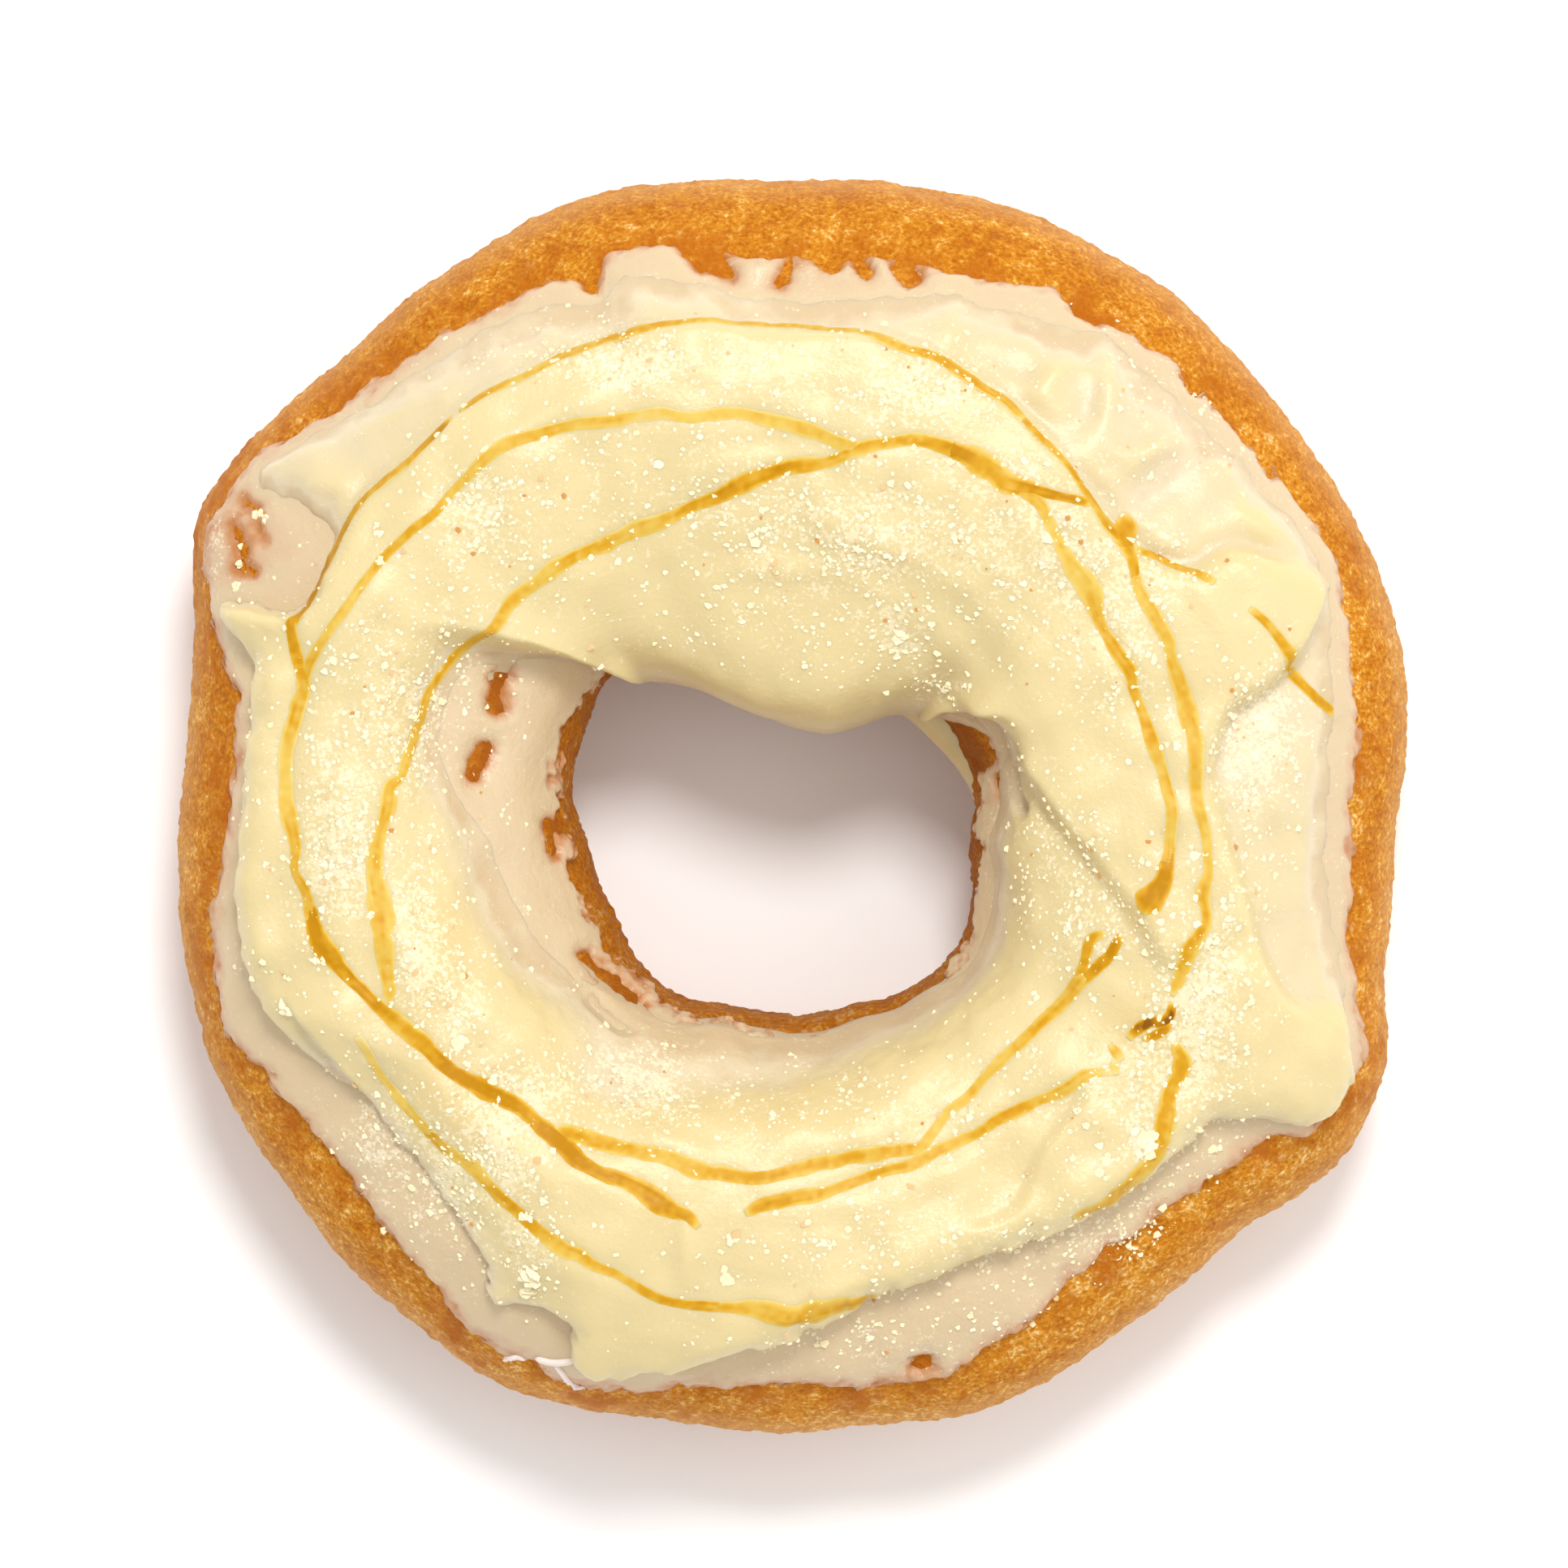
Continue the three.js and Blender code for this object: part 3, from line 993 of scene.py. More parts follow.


# Where milk powder lies thick; the last patch also paints a highlight
POWDER: tuple[Patch, ...] = (
    Patch(10, 31.5, 6, 3.5, 0.9), Patch(20, 19, 5, 6, 0.65), Patch(-12, 34, 5, 1.6, 0.6),
    Patch(-25, 23, 3, 3, 0.6), Patch(-33, 13, 2.5, 3, 0.4), Patch(-30, 6, 3, 4.5, 0.65),
    Patch(-35, -4.5, 3, 5, 0.8), Patch(-29, -11, 2, 6.5, 0.9), Patch(-21, -22.5, 5, 3, 0.9),
    Patch(-23, -28, 3.5, 4, 0.8), Patch(-10, -23, 3, 2, 0.5), Patch(23, -9.5, 4, 3.5, 0.6),
    Patch(31, -16, 3.5, 7, 1.0), Patch(36, 6, 3.5, 4.5, 0.7), Patch(8, 13, 2, 1.8, 0.8),
    Patch(11, 9, 2, 1.6, 0.7), Patch(25, 12, 3.5, 8, 0.55), Patch(29, 18, 4, 2.5, 0.5),
    Patch(-3, 33, 6, 2.5, 0.5), Patch(-36, 3, 2, 5, 0.4), Patch(-27, 12, 3, 5, 0.35),
    Patch(6, -34, 8, 3, 0.35), Patch(-20.5, -34, 2.5, 4, 0.7), Patch(-32, -27, 3, 6, 0.4),
    Patch(26, -34, 12, 5, 0.5), Patch(10, 22, 10, 4, 0.4), Patch(0, 14, 12, 5, 0.3), Patch(20, -3, 5, 6, 0.4),
    Patch(2, -24, 18, 5, 0.3), Patch(34, -6, 3, 9, 0.35), Patch(16, 26, 4, 2, 0.6), Patch(26, -22, 6, 4, 0.6),
    Patch(-17, 35, 8, 3, 0.35), Patch(30, 31, 7, 6, 0.25), Patch(-44.4, 20, 0.8, 3.5, 0.5),
    Patch(-34, -1, 8, 14, 0.25), Patch(8, -42, 10, 2.5, 0.35), Patch(-12, 26, 10, 4, 0.3),
    Patch(-2, 22, 10, 4, 0.3), Patch(6, 19, 8, 4, 0.35), Patch(-22, 20, 5, 6, 0.35),
    Patch(-27, -29.5, 2, 4.5, 0.7), Patch(-31, -25.5, 2.5, 2.5, 0.5), Patch(-25.5, -15, 2.5, 4, 0.7),
    Patch(26.8, -26, 1.2, 1.2, 1.0), Patch(-12, -20.5, 4, 2.5, 0.7), Patch(36, 4, 3, 5, 0.5),
    # The last patch whitens a thin white smear of cream near the top with dust and grains: partly a painted
    # highlight
    Patch(-13.4, 33, 2.4, 1.2, 0.9))


@dataclass(frozen=True)
class Gap:
    """A bare stroke in the glaze, between two plan places, with half its width."""

    start: tuple[float, float]
    end: tuple[float, float]
    half: float

    def distance(self, x: Array, y: Array, scale: float) -> Array:
        """Distance outside the stroke, below zero in it.

        Args:
            x: Plan coordinates.
            y: Plan coordinates.
            scale: Size of the plan against the stroke's places.

        Returns:
            Distances in millimetres.
        """
        run_x = self.end[0] - self.start[0]
        run_y = self.end[1] - self.start[1]
        away_x = x / scale - self.start[0]
        away_y = y / scale - self.start[1]
        t = np.clip((away_x * run_x + away_y * run_y) / (run_x**2 + run_y**2), 0.0, 1.0)
        return np.hypot(away_x - t * run_x, away_y - t * run_y) - self.half


@dataclass(frozen=True)
class SugarGlaze:
    """The thin glaze: a skin with a ragged rim that sinks into the crust past its edge and in its pits."""

    form: RingForm
    noise: LatticeNoise
    seen: float
    steps_round: int = 700
    steps_over: int = 120
    steps_under: int = 8
    full: float = 0.75
    ripple: Wave = Wave(0.22, 2.6)
    rim_rise: float = 1.6
    # Rag of the edges, in three sizes
    rag: float = 0.9
    rag_mm: float = 1.7
    rags: tuple[Wave, ...] = (Wave(1.0, rag_mm), Wave(0.6, rag_mm / 2.7), Wave(0.4, rag_mm / 5.0))
    # Shares of the rag at the outer rim, at the edge in the hole and at the bare strokes
    rim_rag: float = 0.5
    hole_rag: float = 1.5
    gap_rag: float = 0.4
    # Over what the crust's tint goes: at the rim in parts of the rim's fade, at the strokes in millimetres
    rim_tint: Range = (-0.1, 1.0)
    gap_tint: Range = (-0.2, 0.9)
    bare_reach: float = 9.0
    sunk: float = -0.7
    bottom: float = -1.4
    # Degrees of the section that the skin goes on for past its rims
    skirt: float = 9.0
    # How much closer the rows lie at the rims than in the middle
    crowding: float = 0.55
    gap_allowance: float = 0.12
    outline: Curve = around_ring(
        (2, 44.1), (12, 45.6), (21, 46.9), (29, 48.5), (42, 48), (50, 48.3), (56, 48.3), (60, 47.6),
        (64, 48.4), (69, 47), (76, 46.5), (89, 45.5), (95, 46.2), (101, 47.6), (106, 48), (108, 46.4),
        (112, 47.6), (120, 47.5), (129, 47.7), (134, 48.2), (139, 49.5), (144, 50.7), (150, 50.9),
        (156, 48.4), (161, 45.4), (164, 43.5), (171, 42.8), (179, 42.8), (188, 44.4), (198, 45), (203, 43.3),
        (208, 42.4), (213, 41.5), (220, 41.6), (232, 42.9), (238, 44.1), (244, 43.7), (249, 44.2),
        (254, 43.4), (260, 41.7), (272, 40.9), (283, 41.9), (288, 42.1), (293, 41), (300, 40.8), (305, 39.6),
        (316, 40.2), (326, 42.5), (330, 43.8), (332, 46), (340, 47.9), (347, 45.6), (352, 44.4))
    dip: Curve = around_ring(
        (0, 162), (14, 166), (24, 160), (32, 150), (40, 152), (47, 170), (52, 186), (70, 190), (100, 190),
        (120, 184), (130, 168), (138, 162), (149, 156), (164, 156), (174, 154), (188, 152), (208, 155),
        (220, 161), (238, 155), (254, 154), (266, 151), (278, 150), (290, 152), (315, 151), (324, 158),
        (345, 163))
    # How far inside the outer rim the crust still tints the glaze
    rim_fade: Curve = around_ring(
        (0, 2.2), (20, 1.6), (40, 1.2), (80, 1.2), (110, 2.0), (180, 2.6), (300, 2.6))
    rim_allowance: float = 0.35
    # Strokes where the crust shows bare: on the hole's wall, at the left rim, beside the lip, along the rims
    gaps: tuple[Gap, ...] = (
        Gap((-22.4, 9.4), (-22.6, 7.5), 0.5), Gap((-22.0, 10.3), (-21.9, 9.6), 0.25),
        Gap((-23.5, 4.3), (-24.3, 2.1), 0.38), Gap((-43.4, 21.4), (-42.8, 19.6), 0.18),
        Gap((-42.3, 23.2), (-41.6, 22.8), 0.12), Gap((-41.4, 21.6), (-40.8, 20.4), 0.08),
        Gap((-43.0, 18.3), (-41.8, 17.9), 0.12), Gap((-18.5, -1.6), (-18.2, -3.4), 0.35),
        Gap((-15.7, -11.8), (-14.9, -12.7), 0.35), Gap((-13.6, -13.9), (-12.2, -15.4), 0.85),
        Gap((-13.9, -13.4), (-13.4, -14.6), 0.35), Gap((-11.9, -14.7), (-11.5, -15.7), 0.35),
        Gap((11.6, 5.3), (12.8, 5.0), 0.9), Gap((13.3, 4.7), (13.9, 3.2), 0.9),
        Gap((15.5, 1.7), (15.7, 0.6), 0.28), Gap((15.7, 0.6), (16.6, -0.4), 0.28),
        Gap((-16.2, 41.6), (-15.6, 39.8), 0.5), Gap((-8.6, 43.9), (-7.0, 42.1), 0.8),
        Gap((-6.3, 42.9), (-5.0, 40.7), 0.5), Gap((-5.6, 41.7), (-5.1, 41.0), 0.7),
        Gap((-0.3, 42.0), (-0.8, 40.3), 0.3), Gap((-0.8, 40.5), (-1.0, 40.2), 0.5),
        Gap((2.2, 42.6), (3.0, 41.6), 0.55), Gap((5.0, 42.2), (5.7, 41.2), 0.5),
        Gap((8.0, 41.6), (9.1, 40.7), 0.5), Gap((9.8, -43.6), (10.3, -43.2), 0.5),
        Gap((22.3, 38.4), (23.5, 37.8), 0.5), Gap((30.9, 33.0), (31.3, 32.2), 0.45),
        Gap((34.9, 29.0), (35.3, 28.2), 0.4), Gap((36.8, 26.4), (37.1, 25.6), 0.4))
    # Places where it is so thin that the crust tints it
    thin: tuple[Patch, ...] = (
        Patch(-43.2, 20.4, 1.5, 2.2, 0.6), Patch(-42.0, 23.2, 1.6, 0.9, 0.5),
        Patch(-42.6, 17.8, 1.7, 0.9, 0.5), Patch(-41, 20, 4.4, 3.8, 0.55), Patch(-22.6, 8.6, 1.9, 2.6, 0.65),
        Patch(-24.0, 3.0, 1.6, 2.4, 0.65), Patch(-18.0, -3.0, 2.0, 4.0, 0.5), Patch(1.0, 40.0, 9.0, 1.4, 0.5),
        Patch(24.0, 37.4, 3.0, 1.4, 0.4), Patch(34.0, -26.0, 4.0, 1.2, 0.4), Patch(15.5, 0.5, 1.6, 2.4, 0.5),
        Patch(-14, -14, 4, 3, 0.5))
    thinning: float = 0.6

    def bare(self, x: Array, y: Array) -> Array:
        """Distance in plan from the bare strokes, below zero in them.

        Args:
            x: Plan coordinates.
            y: Plan coordinates.

        Returns:
            Distances in millimetres, held at the reach.
        """
        gap = np.full(x.shape, self.bare_reach)
        for stroke in self.gaps:
            gap = np.minimum(gap, stroke.distance(x, y, self.seen))
        return gap

    def coat(self, places: Array) -> tuple[Array, Array]:
        """Height of an unbroken coat at places on it, rippled by noise, and how thin it is there.

        Args:
            places: Array whose last axis is x, y, z.

        Returns:
            Heights in millimetres, and thinness from 0 to 1.
        """
        thin = covered(self.thin, places, self.seen)
        height = self.full + self.noise.waves(places, self.ripple)
        return height * (1.0 - self.thinning * thin), thin

    def rim(self, bearing: Array) -> Array:
        """Radius of the outer rim, with an allowance for what its thin edge loses under the crust."""
        return self.seen * self.outline(bearing) + self.rim_allowance

    def above(self, bearing: Array, angle: Array) -> tuple[Array, Array]:
        """Height of the glaze above the dough's skin, and how full its cover is.

        The height rises from the rim by a quarter ellipse to the full thickness, ripples with noise, and
        falls below the skin past the rims and in the pits.

        Args:
            bearing: Degrees round the ring.
            angle: Degrees on the section.

        Returns:
            Heights in millimetres, and covers from 0 to 1.
        """
        places = self.form.points(bearing, angle, self.full)
        x = places[..., 0]
        y = places[..., 1]
        radius = np.hypot(x - self.form.centre[0], y - self.form.centre[1])
        _, half, rise = self.form.section(bearing)
        rag = self.rag * self.noise.waves(places, *self.rags)
        from_rim = self.rim(bearing) - radius + self.rim_rag * rag
        from_dip = np.radians(self.dip(bearing) - angle) * (half + rise) / 2.0 + self.hole_rag * rag
        inside = np.where(angle < CROWN, from_rim, from_dip)
        gap = self.bare(x, y) + self.gap_rag * rag - self.gap_allowance
        gap = np.where(angle < HALF_TURN, gap, self.bare_reach)
        body, thin = self.coat(places)
        cover = ease(inside / self.rim_fade(bearing), *self.rim_tint) * (1.0 - thin)
        cover = cover * ease(gap, *self.gap_tint)
        inside = np.minimum(inside, gap)
        raised = body * shoulder(inside / self.rim_rise)
        return np.where(inside > 0.0, raised, np.maximum(inside, self.sunk)), cover

    def rim_angle(self, bearing: Array) -> Array:
        """Angle on the section at which the outer rim lies.

        Args:
            bearing: Degrees round the ring.

        Returns:
            Angles in degrees.
        """
        turn = np.radians(bearing)
        x = self.form.centre[0] + self.rim(bearing) * np.cos(turn)
        y = self.form.centre[1] + self.rim(bearing) * np.sin(turn)
        return self.form.locate(x, y, self.full)[1]

    def build(self) -> None:
        """Makes the skin as a closed loop of section: over the top from rim to rim, and back beneath."""
        bearing = np.arange(self.steps_round) * FULL_TURN / self.steps_round
        outer = self.rim_angle(bearing) - self.skirt
        inner = self.dip(bearing) + self.skirt
        share = np.linspace(0.0, 1.0, self.steps_over)[:, None]
        share = share - self.crowding * np.sin(2.0 * math.pi * share) / (2.0 * math.pi)
        angle = outer + (inner - outer) * share
        rows = np.broadcast_to(bearing, angle.shape)
        above, cover = self.above(rows, angle)
        top = self.form.points(rows, angle, above)
        under = self.form.underside(bearing, (outer, inner), self.steps_under, self.bottom)
        values = {"cover": cover, "dust": covered(POWDER, top, self.seen)}
        piece = grid_object("sugar_glaze", np.concatenate([top, under]), values)
        finish_piece(piece, SetGlaze().build(), Layer.GLAZE)


@dataclass(frozen=True)
class DoughRing:
    """The fried ring, with its lumps, blisters and crumb."""

    form: RingForm
    noise: LatticeNoise
    glaze: SugarGlaze
    steps_round: int = 900
    steps_over: int = 108
    # Swells, blisters and crumb of the crust
    relief: tuple[Wave, ...] = (Wave(0.16, 5.0), Wave(0.1, 1.7, 5.0), Wave(0.2, 0.6, -5.0))
    # How much closer the rows lie at the two equators than between them
    crowding: float = 0.5
    # Sines of the angles between which the relief sets in above the foot
    foot: Range = (-0.85, -0.6)
    # Pale band at the outer equator: its middle, and where it starts and ends to fade, in degrees
    band_middle: float = 4.0
    band_fade: Range = (6.0, 26.0)
    band_strength: float = 0.35
    # Wall of the hole, browner crust and painted shade, by how far the skin faces inward
    wall_fade: Range = (0.72, 0.98)
    wall_brown_and_shade: float = 0.6
    # Toasted blots past the glaze's ragged rim: their width, and how much of their noise shows
    toast_band: float = 2.6
    toast_rag: Wave = Wave(1.0, 2.0)
    blots: tuple[Wave, ...] = (Wave(1.0, 2.4), Wave(0.8, 0.8, 3.0))
    blot_fade: Range = (-0.6, 0.8)
    toast_strength: float = 0.85
    # Bare strokes on the inner side, browner crust and painted shade as in a recess
    pit_fade: float = 0.8
    pit_brown_and_shade: float = 0.85
    # Middle and half of the angles at which toast and pits may lie
    toast_side: Range = (45.0, 90.0)
    pit_side: Range = (135.0, 45.0)
    # Bearing towards which the painted light makes the crust palest
    lit_side_bearing: float = 290.0

    def build(self) -> None:
        """Makes the closed skin as a grid over bearing and angle, raised by the relief except on its foot."""
        bearing = np.arange(self.steps_round) * FULL_TURN / self.steps_round
        angle = np.arange(self.steps_over)[:, None] * FULL_TURN / self.steps_over
        angle = angle - np.degrees(self.crowding * np.sin(np.radians(2.0 * angle)) / 2.0)
        bearing, angle = np.broadcast_arrays(bearing[None, :], angle)
        places = self.form.points(bearing, angle, 0.0)
        above_foot = ease(np.sin(np.radians(angle)), *self.foot)
        raised = self.form.points(bearing, angle, self.noise.waves(places, *self.relief) * above_foot)
        turned = (angle + HALF_TURN) % FULL_TURN - HALF_TURN
        equator = 1.0 - ease(np.abs(turned - self.band_middle), *self.band_fade)
        hole = ease(-np.cos(np.radians(angle)), *self.wall_fade)
        radius = self.form.radius_height(bearing, angle, 0.0)[0]
        past_rim = radius - self.glaze.rim(bearing) + self.noise.waves(places, self.toast_rag)
        blot = ease(self.noise.waves(places, *self.blots), *self.blot_fade)
        toast = (1.0 - ease(past_rim, 0.0, self.toast_band)) * blot
        toast = toast * (np.abs(turned - self.toast_side[0]) < self.toast_side[1])
        pit = 1.0 - ease(self.glaze.bare(places[..., 0], places[..., 1]), 0.0, self.pit_fade)
        pit = pit * (np.abs(turned - self.pit_side[0]) < self.pit_side[1])
        values = {
            "equator": self.band_strength * equator, "toast": self.toast_strength * toast,
            # The hole's value is browner crust with painted shade, on the wall and in the bare pits
            "hole": np.maximum(self.wall_brown_and_shade * hole, self.pit_brown_and_shade * pit),
            # Painted light: the crust is paler towards the bottom, a little to the right, and darker on the
            # far side
            "painted_side_light": np.cos(np.radians(bearing - self.lit_side_bearing))}
        piece = grid_object("dough_ring", raised, values)
        finish_piece(piece, FriedCrust().build(), Layer.DOUGH)


class Crease:
    """What folds and ridges share: a form along a plan path, with a section across it."""

    END_FADE = 3.0
    path: Plan
    reach: float

    def section(self, gap: Array) -> Array:
        """Height across the form, by the distance from its path."""
        raise NotImplementedError

    def relief(self, x: Array, y: Array, scale: float) -> Array:
        """Height of the form: its section by the distance from the path, fading at the ends.

        Args:
            x: Plan coordinates.
            y: Plan coordinates.
            scale: Size of the plan against the path's points.

        Returns:
            Heights in millimetres.
        """
        route = Route(np.array([point[:2] for point in self.path]) * scale)
        gap, walked = route.field(x, y, self.reach)
        return ease(np.minimum(walked, route.length - walked), 0.0, self.END_FADE) * self.section(gap)


@dataclass(frozen=True)
class Fold(Crease):
    """A step along a path: raised on its left and sunk on its right, easing to nothing over its run."""

    height: float
    drop: float
    face: float
    run: float
    path: Plan
    runs: float = 3.0

    @property
    def reach(self) -> float:
        """Distance beyond which the step is nothing."""
        return self.runs * self.run

    def section(self, gap: Array) -> Array:
        """A smooth face between the two sides, times a bell over the run."""
        raised = ease(gap, -self.face / 2.0, self.face / 2.0)
        return np.exp(-((gap / self.run) ** 2)) * (self.height * raised - self.drop * (1.0 - raised))


@dataclass(frozen=True)
class Ridge(Crease):
    """A ridge along a path, or a groove where its height is below zero."""

    height: float
    width: float
    path: Plan
    widths: float = 4.0

    @property
    def reach(self) -> float:
        """Distance beyond which the ridge is nothing."""
        return self.widths * self.width

    def section(self, gap: Array) -> Array:
        """A bell across the path."""
        return self.height * np.exp(-((gap / self.width) ** 2))


@dataclass(frozen=True)
class Strand:
    """A strand laid over a surface: how deep its colour is, and its plan points with the width there."""

    depth: float
    path: tuple[tuple[float, float, float], ...]


